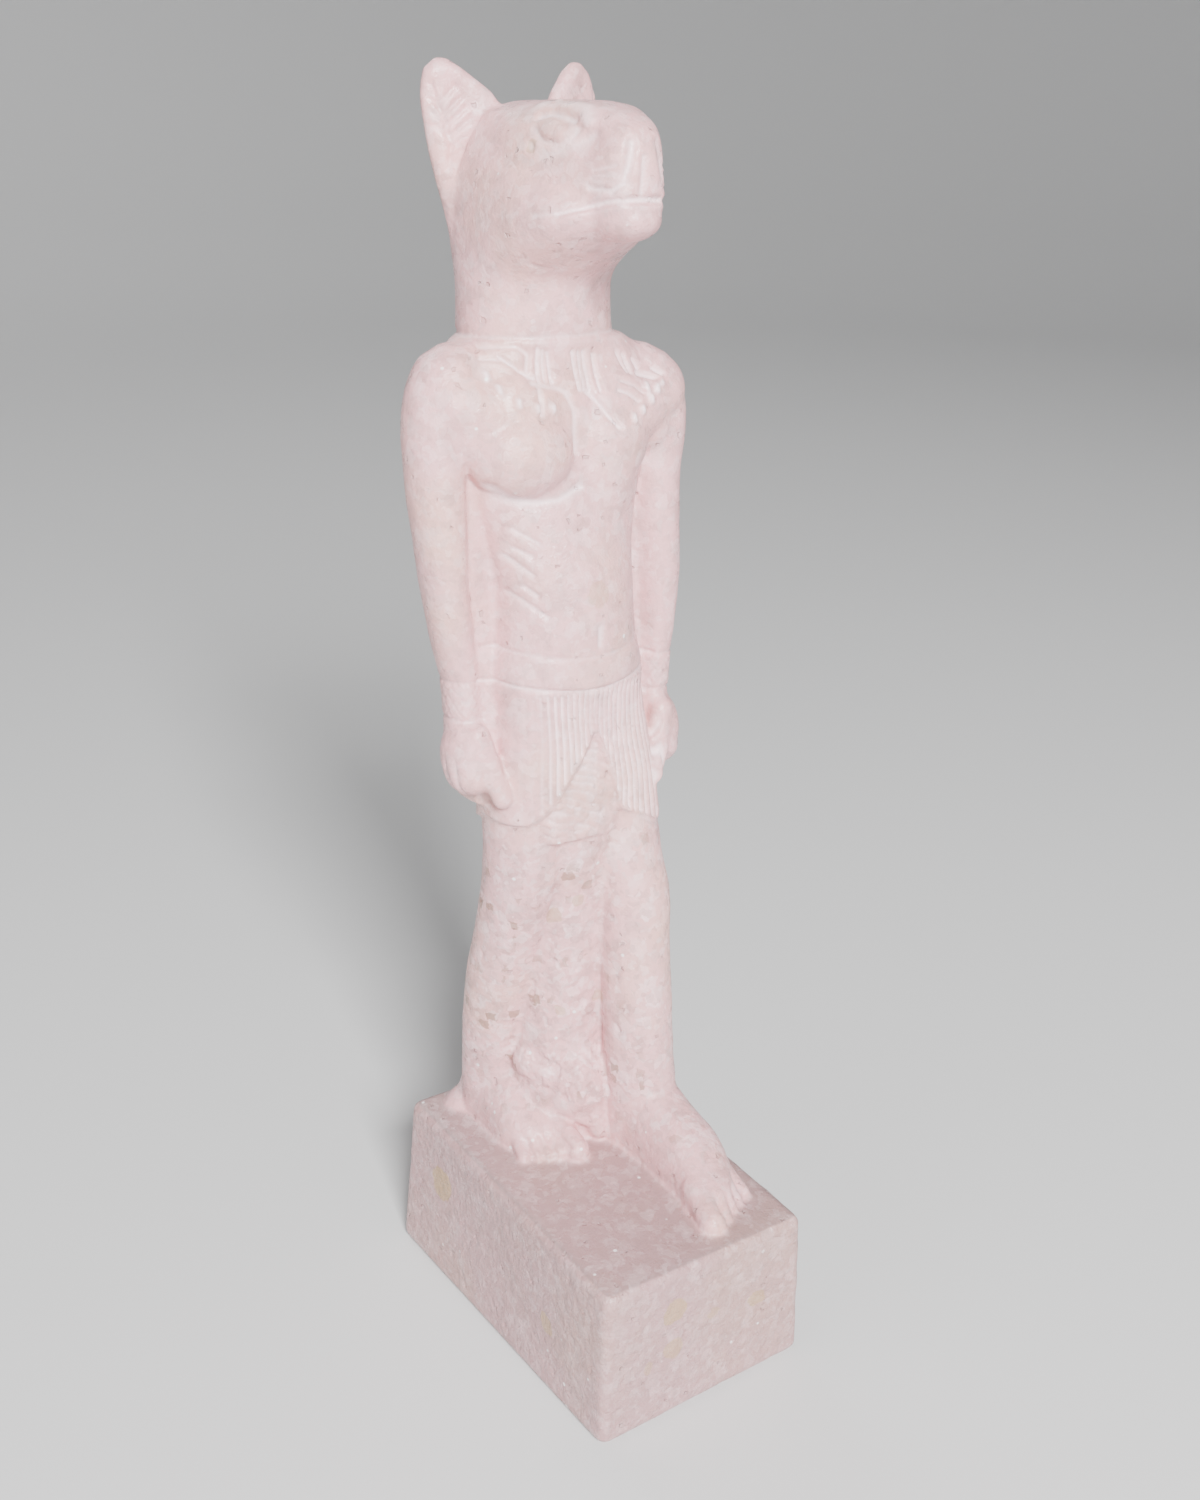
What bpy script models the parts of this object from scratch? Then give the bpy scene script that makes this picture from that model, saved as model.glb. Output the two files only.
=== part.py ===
"""Standing figure with a cat's head, on a block base, cast and carved in one stone.

The body is built up from solid masses, lofts and balls, which are fused and rounded off as a carver rounds off a
rough block. The carving is then cut into that surface: belt, pleats, hems, bracelets, fingers, toes, collar, eyes,
mouth and ears. Lengths are in millimetres while the stone is shaped, and the finished stone is scaled to metres.
+Z is up, the figure faces -Y and its right side is at -X. The origin is under the middle of the base.
"""

from collections import namedtuple
from math import pi, radians

import bmesh
import bpy
import numpy as np
from mathutils import Matrix, Vector

MILLIMETRE = 0.001

# Driving sizes
BASE_HEIGHT = 28.3
BASE_EDGE = 1.5
BELT_HEIGHT = 118.7
EAR_TIP_HEIGHT = 205.9
PILLAR_BACK = 28.6

# How finely the stone is worked
CARVING_GRAIN = 0.4
FIGURE_TRIANGLES = 9200
ROUNDING_PASSES = 16

# A loft with a shaped lower edge turns in under that edge, to this share of its width.
LIP = 0.75

STONE_COLOUR = (0.72, 0.64, 0.62, 1.0)
STONE_ROUGHNESS = 0.45

# A level of a loft: how high it is, its middle, its half width and its reach to the front and to the back.
# In a loft that runs along Y, "at" is Y and the two reaches are down and up.
Level = namedtuple("Level", "at side mid half fore aft square", defaults=(2.0,))


def smooth_levels(levels, ats):
    """The levels' values at the heights given, on smooth curves through them."""
    table = np.array(levels)
    known = table[:, 0]
    slopes = np.gradient(table, known, axis=0)
    ats = np.clip(ats, known[0], known[-1])
    low = np.clip(np.searchsorted(known, ats, side="right") - 1, 0, len(known) - 2)
    span = (known[low + 1] - known[low])[:, None]
    t = (ats - known[low])[:, None] / span
    start, end = table[low], table[low + 1]
    lift = slopes[low] * span * (t * (1 - t) ** 2) - slopes[low + 1] * span * (t**2 * (1 - t))
    return start + (end - start) * (t**2 * (3 - 2 * t)) + lift


def round_corner(value, square):
    return np.sign(value) * np.abs(value) ** (2.0 / square)


def loft(stone, levels, rings=24, sides=32, along="Z", place=None, bottom=None):
    """A closed skin through the levels. bottom, if given, is the height of the lowest ring at each of its points."""
    first, last = levels[0][0], levels[-1][0]
    place = place or Matrix.Identity(4)
    turns = np.linspace(0, 2 * pi, sides, endpoint=False)
    skin = []
    for step in range(rings + 1):
        share = step / rings
        ats = np.full(sides, first + (last - first) * share)
        for _ in range(3 if bottom else 1):
            level = smooth_levels(levels, ats)
            side, mid, half, fore, aft, square = level[:, 1:].T
            across = side + half * round_corner(np.cos(turns), square)
            reach = np.where(np.sin(turns) < 0, fore, aft)
            deep = mid + reach * round_corner(np.sin(turns), square)
            if bottom:
                lowest = bottom(across, deep)
                ats = lowest + (last - lowest) * share
        if bottom and step == 0:
            inner = ring_of(stone, side + LIP * (across - side), mid + LIP * (deep - mid), ats, along, place)
            skin.append(inner)
        skin.append(ring_of(stone, across, deep, ats, along, place))
    faces = []
    for lower, upper in zip(skin, skin[1:]):
        for i in range(sides):
            j = (i + 1) % sides
            faces.append(stone.faces.new((lower[i], lower[j], upper[j], upper[i])))
    faces.append(stone.faces.new(skin[0][::-1]))
    faces.append(stone.faces.new(skin[-1]))
    bmesh.ops.recalc_face_normals(stone, faces=faces)


def ring_of(stone, across, deep, ats, along, place):
    """One ring of a loft, as corners of the stone."""
    ring = []
    for x, y, z in zip(across, deep, ats):
        point = Vector((x, y, z)) if along == "Z" else Vector((x, z, y))
        ring.append(stone.verts.new(place @ point))
    return ring


def add_shape(stone, build, **sizes):
    """Builds one of Blender's own shapes by itself, which is quick, and puts it into the stone."""
    shape = bmesh.new()
    build(shape, **sizes)
    mesh = bpy.data.meshes.new("shape")
    shape.to_mesh(mesh)
    shape.free()
    stone.from_mesh(mesh)
    bpy.data.meshes.remove(mesh)


def ball(stone, centre, radii, turn=None):
    """An ellipsoid, turned about its own centre."""
    place = Matrix.Translation(centre) @ (turn or Matrix.Identity(4)) @ Matrix.Diagonal((*radii, 1))
    add_shape(stone, bmesh.ops.create_uvsphere, u_segments=28, v_segments=18, radius=1, matrix=place)


def rod(stone, start, end, start_radius, end_radius):
    """A tapered rod with round ends, such as a finger or a toe."""
    start, end = Vector(start), Vector(end)
    run = end - start
    turn = run.to_track_quat("Z", "Y").to_matrix().to_4x4()
    add_shape(
        stone,
        bmesh.ops.create_cone,
        cap_ends=True,
        segments=20,
        radius1=start_radius,
        radius2=end_radius,
        depth=run.length,
        matrix=Matrix.Translation((start + end) / 2) @ turn,
    )
    ball(stone, start, (start_radius,) * 3)
    ball(stone, end, (end_radius,) * 3)


TORSO = (
    Level(109, 0.4, 10.0, 12.4, 7.6, 9.2),
    Level(113, 0.3, 9.8, 13.5, 8.9, 9.8),
    Level(120, 0.0, 10.2, 12.5, 9.6, 9.8),
    Level(128, 0.0, 10.9, 12.0, 10.1, 10.2),
    Level(136, -0.2, 12.0, 12.9, 9.4, 10.2),
    Level(144, -0.4, 13.2, 15.2, 8.8, 10.2),
    Level(150, -0.5, 13.9, 17.6, 8.6, 10.2),
    Level(156, -0.5, 14.2, 19.8, 8.5, 10.0),
    Level(161, -0.6, 14.6, 20.6, 8.2, 9.6),
    Level(164.6, -0.7, 15.2, 18.8, 8.0, 9.6),
    Level(167.0, -0.9, 16.0, 14.2, 8.6, 10.2),
    Level(168.8, -1.0, 16.5, 11.6, 9.4, 10.8),
)

KILT = (
    Level(86, 1.9, 10.6, 16.3, 9.2, 12.4, 2.5),
    Level(92, 1.6, 10.4, 15.8, 9.0, 12.2, 2.5),
    Level(100, 1.0, 10.1, 14.7, 8.8, 11.6, 2.4),
    Level(108, 0.5, 9.9, 13.7, 8.5, 10.8, 2.2),
    Level(118, 0.2, 9.9, 12.3, 9.3, 10.0, 2.1),
)
HEM_BACK = 89.0

# The lower edge of the two front panels, X and Z: it rises from the right hip to a point and falls away again on
# the left, so the tab shows between them.
PANEL_HEM = (
    (-11.0, 92.0),
    (-9.3, 93.0),
    (-7.2, 95.0),
    (-4.1, 99.3),
    (-1.6, 102.9),
    (-0.4, 105.2),
    (0.5, 107.6),
    (1.3, 105.8),
    (2.4, 103.6),
    (3.6, 100.4),
    (4.9, 96.4),
    (5.7, 92.4),
    (15.0, 87.0),
)


def hem(across, deep):
    """Height of the kilt's lower edge."""
    front = np.interp(across, *zip(*PANEL_HEM))
    side = np.interp(across, (-12, 15), (92.0, 87.0))
    beside = side + (HEM_BACK - side) * rise(deep, 12, 20)
    return front + (beside - front) * rise(deep, 5, 8)


# The front tab of the kilt, which hangs lower than the two panels and lies behind them.
TAB = (
    Level(88.4, -0.6, 6.4, 6.9, 4.0, 4.0, 6.0),
    Level(96.0, -0.4, 6.4, 7.0, 4.1, 4.0, 6.0),
    Level(102.0, 0.2, 6.4, 5.2, 4.1, 4.0, 4.0),
    Level(107.0, 0.8, 6.4, 2.2, 4.3, 4.0, 3.0),
    Level(112.0, 1.0, 6.4, 0.9, 4.4, 4.0, 2.4),
)

# The neck's front runs forward into the throat and under the jaw.
NECK = (
    Level(163, -1.2, 16.4, 12.4, 9.6, 11.4),
    Level(169, -1.2, 16.6, 12.3, 9.8, 11.4),
    Level(173, -1.2, 16.7, 12.1, 10.0, 11.4),
    Level(176, -1.2, 16.9, 12.1, 11.0, 11.4),
    Level(179, -1.2, 17.0, 12.1, 15.2, 11.4, 2.2),
    Level(182, -1.1, 17.2, 12.1, 20.2, 11.2, 2.5),
    Level(185, -1.1, 17.4, 12.0, 23.0, 11.2, 2.7),
    Level(190, -1.0, 17.8, 11.6, 20.0, 10.6, 2.3),
    Level(196, -0.9, 18.2, 9.6, 12.0, 9.2),
    Level(199.0, -0.8, 18.2, 7.5, 6.0, 6.0),
)

HEAD = (
    Level(-10.4, 0, 191.2, 1.8, 3.2, 2.8, 2.4),
    Level(-9.9, 0, 191.2, 3.2, 5.9, 4.4, 2.5),
    Level(-8.8, 0, 191.3, 4.3, 7.4, 5.6, 2.6),
    Level(-7.0, 0, 191.4, 5.2, 8.4, 6.8, 2.7),
    Level(-4.5, 0, 191.4, 5.9, 9.2, 7.8, 2.8),
    Level(-0.5, -0.1, 191.2, 7.5, 10.6, 8.9, 2.8),
    Level(4.0, -0.2, 190.8, 9.0, 11.8, 9.6, 2.7),
    Level(9.0, -0.5, 190.0, 10.2, 12.6, 10.5, 2.6),
    Level(14.0, -0.7, 189.0, 10.8, 13.4, 11.4, 2.4),
    Level(20.0, -0.8, 188.5, 11.2, 14.0, 11.8, 2.2),
    Level(25.0, -0.9, 188.0, 10.0, 13.4, 10.7, 2.1),
    Level(28.2, -0.9, 187.0, 5.5, 10.0, 7.5, 2.0),
)


def ear_levels(lean):
    """The leaf of an ear in its own plane: a teardrop that is widest over the crown, its tip leaning outwards."""
    return (
        Level(176.0, 0.4, 0, 1.0, 1.2, 1.2),
        Level(184.0, 0.6, 0, 2.2, 1.8, 1.8),
        Level(190.0, 0.6, 0, 3.8, 2.1, 2.1),
        Level(194.0, 0.2, 0, 5.1, 2.2, 2.2),
        Level(198.0, 0.0, 0, 5.9, 2.1, 2.1),
        Level(200.5, 0.15 * lean, 0, 5.7, 1.9, 1.9),
        Level(203.2, 0.65 * lean, 0, 3.9, 1.6, 1.6),
        Level(205.0, 0.95 * lean, 0, 2.3, 1.3, 1.3),
        Level(EAR_TIP_HEIGHT, lean, 0, 0.9, 0.7, 0.7),
    )


EAR_TURN = radians(20)
RIGHT_EAR = {"middle": (-10.7, 21.0), "lean": 3.0, "sign": -1}
LEFT_EAR = {"middle": (8.1, 20.8), "lean": 0.8, "sign": 1}


def ear_place(ear):
    """From the leaf's own plane, its outer edge at +X, to the head."""
    turn = EAR_TURN if ear["sign"] > 0 else pi - EAR_TURN
    return Matrix.Translation((*ear["middle"], 0)) @ Matrix.Rotation(turn, 4, "Z")


RIGHT_ARM = (
    Level(100, -17.4, 12.6, 2.8, 3.4, 4.6),
    Level(108.8, -17.2, 12.9, 2.7, 3.3, 4.4),
    Level(114.5, -17.3, 13.0, 2.8, 3.3, 4.4),
    Level(121.5, -18.5, 13.2, 3.1, 3.9, 5.0),
    Level(127, -19.3, 13.2, 3.3, 4.2, 5.2),
    Level(133, -20.0, 13.2, 3.5, 4.5, 5.4),
    Level(139, -20.4, 13.2, 3.8, 4.8, 5.5),
    Level(145, -20.8, 13.3, 4.2, 5.1, 5.8),
    Level(150.4, -20.8, 13.5, 4.4, 5.3, 6.0),
    Level(155, -20.5, 13.8, 4.7, 5.4, 6.1),
    Level(159, -19.6, 14.0, 5.1, 5.4, 6.0),
    Level(162.5, -18.2, 14.2, 5.3, 5.3, 5.8),
    Level(165.4, -17.0, 14.6, 4.4, 4.6, 4.8),
    Level(167.0, -15.8, 14.8, 2.4, 2.8, 3.0),
)
LEFT_ARM = (
    Level(100, 18.2, 11.8, 3.0, 3.6, 5.0),
    Level(107, 18.2, 11.8, 2.9, 3.5, 5.0),
    Level(113, 18.3, 12.0, 3.1, 3.7, 5.0),
    Level(120, 18.7, 12.3, 3.6, 4.4, 5.2),
    Level(130, 18.9, 12.6, 4.2, 5.2, 5.6),
    Level(138, 18.5, 12.8, 4.3, 5.5, 5.8),
    Level(146, 18.6, 13.0, 4.5, 5.2, 6.0),
    Level(152, 19.3, 13.0, 4.8, 5.0, 6.1),
    Level(157, 18.8, 13.3, 5.2, 5.2, 6.2),
    Level(161, 17.2, 13.6, 5.4, 5.4, 5.8),
    Level(164, 16.0, 14.0, 4.4, 4.8, 4.8),
    Level(165.6, 14.8, 14.2, 2.4, 2.8, 3.0),
)

RIGHT_LEG = (
    Level(25, -7.0, 23.6, 5.6, 7.0, 6.0),
    Level(34, -7.0, 23.6, 5.4, 6.8, 5.6),
    Level(45, -7.0, 22.2, 5.8, 7.0, 6.0),
    Level(57, -6.9, 19.6, 6.3, 7.4, 6.6),
    Level(70, -6.8, 15.4, 6.3, 7.4, 6.8),
    Level(80, -6.8, 12.8, 6.5, 7.8, 7.0),
    Level(92, -6.9, 11.0, 6.8, 7.5, 8.0),
    Level(105, -6.5, 10.0, 7.0, 7.4, 9.0),
)
LEFT_LEG = (
    Level(25, 11.0, 3.4, 6.8, 8.6, 6.2),
    Level(34, 10.9, 2.6, 6.6, 7.8, 6.2),
    Level(40, 10.6, 2.0, 6.3, 7.2, 6.0),
    Level(46, 10.3, 1.8, 6.1, 6.6, 6.0),
    Level(57, 10.2, 2.4, 6.0, 6.2, 6.6),
    Level(68, 10.6, 4.0, 6.1, 6.2, 6.8),
    Level(76, 10.8, 4.9, 6.2, 6.1, 6.8),
    Level(81, 10.3, 6.0, 6.2, 5.6, 7.0),
    Level(86, 10.1, 7.4, 6.5, 5.6, 7.2),
    Level(95, 8.8, 9.2, 6.8, 6.2, 8.0),
    Level(105, 7.5, 10.0, 7.2, 5.5, 9.0),
)

# Feet run along Y, from the toes to the heel.
RIGHT_FOOT = (
    Level(4.0, -5.2, 28, 3.2, 3, 3.2, 2.4),
    Level(6.0, -5.8, 28, 4.5, 3, 4.8, 2.4),
    Level(8.5, -6.2, 28, 5.5, 3, 6.4, 2.4),
    Level(11.0, -6.4, 28, 6.0, 3, 7.8, 2.4),
    Level(16.0, -6.6, 28, 5.7, 3, 10.5, 2.3),
    Level(23.0, -6.8, 28, 5.4, 3, 12.0, 2.2),
    Level(28.6, -6.8, 28, 4.8, 3, 8.0, 2.0),
    Level(30.6, -6.6, 28, 3.4, 3, 4.0, 2.0),
)
LEFT_FOOT = (
    Level(-28.2, 6.4, 28, 2.0, 3, 2.0, 2.6),
    Level(-26.6, 7.2, 28, 3.4, 3, 2.9, 2.6),
    Level(-24.4, 8.2, 28, 4.7, 3, 4.3, 2.6),
    Level(-21.0, 9.3, 28, 5.5, 3, 5.9, 2.6),
    Level(-18.0, 10.4, 28, 5.6, 3, 7.4, 2.6),
    Level(-15.0, 11.0, 28, 6.1, 3, 8.7, 2.6),
    Level(-8.0, 11.2, 28, 6.1, 3, 11.0, 2.5),
    Level(-1.0, 11.1, 28, 6.1, 3, 13.8, 2.4),
    Level(5.0, 10.8, 28, 5.6, 3, 12.0, 2.2),
    Level(9.0, 10.4, 28, 3.8, 3, 5.0, 2.0),
)

# The stone left standing between the legs. Its front runs from the left leg back to the right shin.
LEG_FILL = (
    Level(26, 2.0, 16, 9.4, 12.0, 9, 2.4),
    Level(30, 2.0, 16, 9.4, 11.4, 9, 2.4),
    Level(36, 2.0, 16, 9.2, 10.2, 9, 2.4),
    Level(46, 2.2, 16, 8.8, 9.8, 9, 2.4),
    Level(60, 2.2, 16, 8.6, 10.4, 9, 2.4),
    Level(78, 1.8, 15, 8.2, 10.6, 9, 2.5),
    Level(88, 1.4, 14, 8.0, 11.2, 9, 2.8),
    Level(96, 1.0, 14, 8.0, 10.6, 9, 2.8),
)
FOOT_LUMP = {"middle": (2.0, 8.8, 38.4), "radii": (6.4, 6.6, 8.6)}
LUMP_TIP = ((1.8, 6.6, 38.0), (3.7, 4.0, 30.4), 4.0, 2.1)
INSTEP_LUMP = ((-4.8, 13.2, 42.6), (1.0, 8.2, 39.0), 3.4, 4.2)
HEEL_FILLET = {"middle": (-6.6, 27.0, 25.0), "radii": (9.4, 5.8, 7.2)}


def arm_web(side):
    """The stone left between an arm and the body, set back a little from both."""
    return (
        Level(94, side * 11.0, 16.4, 4.6, 6.0, 4.9, 3.0),
        Level(103, side * 12.2, 16.4, 4.4, 7.6, 4.9, 2.6),
        Level(112, side * 12.4, 16.4, 4.6, 6.6, 4.9, 2.6),
        Level(122, side * 13.2, 16.5, 5.2, 5.6, 5.0, 3.0),
        Level(134, side * 14.6, 16.6, 5.2, 5.5, 5.0, 3.0),
        Level(150, side * 15.4, 17.0, 5.0, 5.8, 5.2, 3.0),
        Level(158, side * 14.0, 17.0, 5.0, 6.0, 4.4, 3.0),
    )


# The narrow pillar down the back, from the nape to the base.
PILLAR = (
    Level(25, -0.4, 22.0, 6.0, 6.0, PILLAR_BACK - 22.0, 6.0),
    Level(90, -0.4, 22.0, 5.6, 6.0, PILLAR_BACK - 22.0, 6.0),
    Level(160, -0.6, 22.0, 5.4, 6.0, PILLAR_BACK - 22.3, 6.0),
    Level(168, -0.8, 21.5, 5.2, 5.0, PILLAR_BACK - 22.8, 4.0),
)

# The right breast is a full lower ball under a flatter one that slopes up to the collar. The left one is flatter
# and runs out into the ribs below it. A small ball fills the hollow beside each armpit. Each ball has its middle
# and its radii.
BREASTS = (
    ((-8.6, 9.3, 151.2), (8.9, 7.2, 7.4)),
    ((-8.0, 11.0, 156.0), (9.2, 6.6, 8.6)),
    ((6.6, 9.9, 151.6), (7.6, 6.9, 7.6)),
    ((7.0, 11.2, 156.0), (9.0, 6.6, 8.6)),
    ((5.4, 11.2, 146.4), (7.8, 7.6, 10.6)),
    ((-16.6, 11.4, 154.6), (4.4, 4.2, 5.2)),
    ((16.2, 11.4, 153.6), (4.4, 4.2, 5.2)),
)

# A full muscle runs from each breast to the shoulder.
SHOULDER_START = (9.0, 11.0, 154.6)
SHOULDER_END = (17.4, 12.4, 158.4)
SHOULDER_RADII = (6.6, 5.8)

# One side of the face: the whisker pad. The chin lies under both.
PAD = {"middle": (2.4, -5.4, 190.9), "radii": (3.0, 4.0, 3.6)}
CHIN = {"middle": (0, -4.9, 184.9), "radii": (5.0, 6.1, 3.2)}


def add_trunk(stone):
    loft(stone, TORSO, rings=40, sides=48)
    loft(stone, KILT, rings=30, sides=160, bottom=hem)
    loft(stone, TAB, rings=12, sides=40)
    loft(stone, PILLAR, rings=12, sides=48)
    for breast in BREASTS:
        ball(stone, *breast)
    for side in (-1, 1):
        start, end = (Vector((side * x, y, z)) for x, y, z in (SHOULDER_START, SHOULDER_END))
        rod(stone, start, end, *SHOULDER_RADII)
        loft(stone, arm_web(side), rings=12)


def add_head(stone):
    loft(stone, NECK, rings=24, sides=48)
    loft(stone, HEAD, rings=40, sides=48, along="Y")
    for side in (-1, 1):
        x, y, z = PAD["middle"]
        ball(stone, (side * x, y, z), PAD["radii"])
    ball(stone, CHIN["middle"], CHIN["radii"])
    for ear in (RIGHT_EAR, LEFT_EAR):
        loft(stone, ear_levels(ear["lean"]), rings=20, place=ear_place(ear))


# The back of the closed hand, and from it the knuckles, the thumb's root and its tip.
RIGHT_HAND = Vector((-17.7, 11.6, 103.4))
LEFT_HAND = Vector((19.0, 11.0, 101.8))
KNUCKLES = Vector((0.3, -0.6, -2.5))
THUMB_ROOT = Vector((0.8, -2.7, 4.0))
THUMB_TIP = Vector((3.7, -5.2, -6.4))


def add_arms(stone):
    loft(stone, RIGHT_ARM, rings=36)
    loft(stone, LEFT_ARM, rings=36)
    for hand, inward in ((RIGHT_HAND, Vector((1, 1, 1))), (LEFT_HAND, Vector((-1, 1, 1)))):
        ball(stone, hand, (3.7, 5.0, 6.4))
        ball(stone, hand + inward * KNUCKLES, (3.5, 4.8, 3.8))
        rod(stone, hand + inward * THUMB_ROOT, hand + inward * THUMB_TIP, 2.1, 1.7)


# The big toe and the little toe of each foot, and how the other toes are spread between them.
RIGHT_TOE_TIPS = ((-2.9, 1.3, 29.6), (-11.2, 5.2, 29.0))
RIGHT_TOE_ROOTS = ((-3.2, 6.4, 31.2), (-10.4, 9.4, 30.2))
LEFT_TOE_TIPS = ((4.9, -27.6, 29.2), (14.4, -23.8, 29.0))
LEFT_TOE_ROOTS = ((6.6, -20.4, 30.9), (14.0, -18.8, 31.2))
TOE_SHARES = (0.0, 0.36, 0.58, 0.79, 1.0)
TOE_RADII = (2.3, 1.45, 1.35, 1.25, 1.2)


def add_toes(stone, tips, roots):
    """Five toes side by side, from the big toe to the little one."""
    for share, radius in zip(TOE_SHARES, TOE_RADII):
        tip = Vector(tips[0]).lerp(Vector(tips[1]), share)
        root = Vector(roots[0]).lerp(Vector(roots[1]), share)
        rod(stone, root, tip, radius * 1.05, radius)


def add_legs(stone):
    loft(stone, RIGHT_LEG, rings=30)
    loft(stone, LEFT_LEG, rings=30)
    loft(stone, LEG_FILL, rings=20)
    for mass in (FOOT_LUMP, HEEL_FILLET):
        ball(stone, mass["middle"], mass["radii"])
    for lump in (LUMP_TIP, INSTEP_LUMP):
        rod(stone, *lump)
    loft(stone, RIGHT_FOOT, rings=16, along="Y")
    loft(stone, LEFT_FOOT, rings=16, along="Y")
    add_toes(stone, RIGHT_TOE_TIPS, RIGHT_TOE_ROOTS)
    add_toes(stone, LEFT_TOE_TIPS, LEFT_TOE_ROOTS)


def fused(stone, grain):
    """One skin round everything in the stone, as a mesh of even quads."""
    mesh = bpy.data.meshes.new("rough_stone")
    stone.to_mesh(mesh)
    stone.free()
    rough = bpy.data.objects.new("rough_stone", mesh)
    bpy.context.scene.collection.objects.link(rough)
    remesh = rough.modifiers.new("fuse", "REMESH")
    remesh.mode = "VOXEL"
    remesh.voxel_size = grain
    graph = bpy.context.evaluated_depsgraph_get()
    skin = bpy.data.meshes.new_from_object(rough.evaluated_get(graph))
    bpy.data.objects.remove(rough)
    bpy.data.meshes.remove(mesh)
    return skin


def drop_hollows(mesh):
    """Keeps the outer skin and drops the walls of the hollows that were closed in between the masses."""
    skin = bmesh.new()
    skin.from_mesh(mesh)
    unseen = set(skin.verts)
    shells = []
    while unseen:
        edge_of_shell = [unseen.pop()]
        shell = []
        while edge_of_shell:
            corner = edge_of_shell.pop()
            shell.append(corner)
            nearby = {edge.other_vert(corner) for edge in corner.link_edges} & unseen
            unseen -= nearby
            edge_of_shell.extend(nearby)
        shells.append(shell)
    shells.sort(key=len)
    for shell in shells[:-1]:
        bmesh.ops.delete(skin, geom=shell, context="VERTS")
    skin.to_mesh(mesh)
    skin.free()


def points_of(mesh):
    points = np.empty(len(mesh.vertices) * 3, np.float32)
    mesh.vertices.foreach_get("co", points)
    return points.reshape(-1, 3).astype(float)


def normals_of(mesh):
    normals = np.empty(len(mesh.vertices) * 3, np.float32)
    mesh.vertices.foreach_get("normal", normals)
    return normals.reshape(-1, 3).astype(float)


def set_points(mesh, points):
    mesh.vertices.foreach_set("co", points.astype(np.float32).ravel())
    mesh.update()


def relax(mesh, passes, share_of):
    """Rounds the stone off, keeping its bulk: each pass draws a point to its neighbours and half back again."""
    points = points_of(mesh)
    ends = np.empty(len(mesh.edges) * 2, np.int32)
    mesh.edges.foreach_get("vertices", ends)
    left, right = ends.reshape(-1, 2).T
    count = np.bincount(ends, minlength=len(points))[:, None]
    share = share_of(points)[:, None]
    for number in range(2 * passes):
        total = np.zeros_like(points)
        for axis in range(3):
            total[:, axis] += np.bincount(left, points[right, axis], len(points))
            total[:, axis] += np.bincount(right, points[left, axis], len(points))
        pull = 0.6 if number % 2 == 0 else -0.35
        points += pull * share * (total / count - points)
    set_points(mesh, points)


def rise(value, low, high):
    """0 below low, 1 above high, and a smooth step between them."""
    t = np.clip((value - low) / (high - low), 0, 1)
    return t * t * (3 - 2 * t)


def within(value, low, high, edge):
    """1 between low and high, 0 outside, with steps as wide as edge."""
    half = edge / 2
    return rise(value, low - half, low + half) * (1 - rise(value, high - half, high + half))


def rounding_share(points):
    """How much each region is rounded: most at the neck and the waist, least at ears, toes, fingers and hems."""
    x, y, z = points.T
    share = np.full(len(points), 0.8)
    share = np.where(z > 172, 1.0, share)
    share *= 1 - 0.75 * rise(z, 198, 201)
    share *= 1 - 0.8 * within(z, 86, 112, 4) * (1 - rise(np.abs(x), 13.5, 15))
    share *= 1 - 0.6 * (1 - rise(z, 30, 36))
    return share


def offset_from(levels, points):
    """How far each point stands out from a vertical loft, about, and its turn round it from the front."""
    x, y, z = points.T
    _, side, mid, half, fore, aft, square = smooth_levels(levels, z).T
    reach = np.where(y < mid, fore, aft)
    size = (np.abs((x - side) / half) ** square + np.abs((y - mid) / reach) ** square) ** (1 / square)
    return (size - 1) * np.minimum(half, reach), np.arctan2(x - side, mid - y)


def near_skin(offset, slack=1.3):
    return 1 - rise(np.abs(offset), slack, slack + 0.8)


PLEAT_PITCH = 1.3
PLEAT_DEPTH = 0.5
KILT_RADIUS = 12.0
TAB_STROKE_PITCH = 2.4
TAB_STROKE_DEPTH = 0.25


def kilt_carving(points, normals):
    """The upright pleats of both panels and the wavy strokes across the tab."""
    x, y, z = points.T
    offset, turn = offset_from(KILT, points)
    ahead = rise(-normals[:, 1], -0.1, 0.2)
    above = z - hem(x, y)
    along = turn * KILT_RADIUS
    waves = 0.5 + 0.5 * np.cos(2 * pi * along / PLEAT_PITCH)
    worn = rise(along, -15.0, -9.5) * (1 - rise(along, 15.0, 17.5))
    panel = near_skin(offset, 1.2) * rise(above, 0.3, 1.0) * (1 - rise(z, 113.6, 114.6))
    strokes = 0.5 + 0.5 * np.cos(2 * pi * (z + 0.5 * np.sin(1.3 * x)) / TAB_STROKE_PITCH)
    tab = within(above, -19.0, -0.9, 0.6) * within(z, 89.2, 105, 0.6) * (y < 3.5) * (np.abs(x) < 9)
    return -PLEAT_DEPTH * waves * panel * worn * ahead - TAB_STROKE_DEPTH * strokes * tab * ahead


BELT_TALL = 5.3
BELT_DIP = 1.7
BELT_RISE = 0.1
BELT_LOWER_CUT = 0.45
BELT_UPPER_CUT = 0.25
BELT_CUT_WIDTH = 0.45


def belt_carving(points):
    """The belt, which dips at the front and is marked by a line cut along each of its edges."""
    x, y, z = points.T
    offset, turn = offset_from(TORSO, points)
    up = z + BELT_DIP * np.cos(turn / 2) ** 6 - BELT_HEIGHT
    lower = np.exp(-(((up + BELT_TALL / 2) / BELT_CUT_WIDTH) ** 2))
    upper = np.exp(-(((up - BELT_TALL / 2) / BELT_CUT_WIDTH) ** 2))
    band = within(up, -BELT_TALL / 2, BELT_TALL / 2, 0.8)
    return (BELT_RISE * band - BELT_LOWER_CUT * lower - BELT_UPPER_CUT * upper) * near_skin(offset, 1.8)


BRACELET_RISE = 0.25


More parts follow.
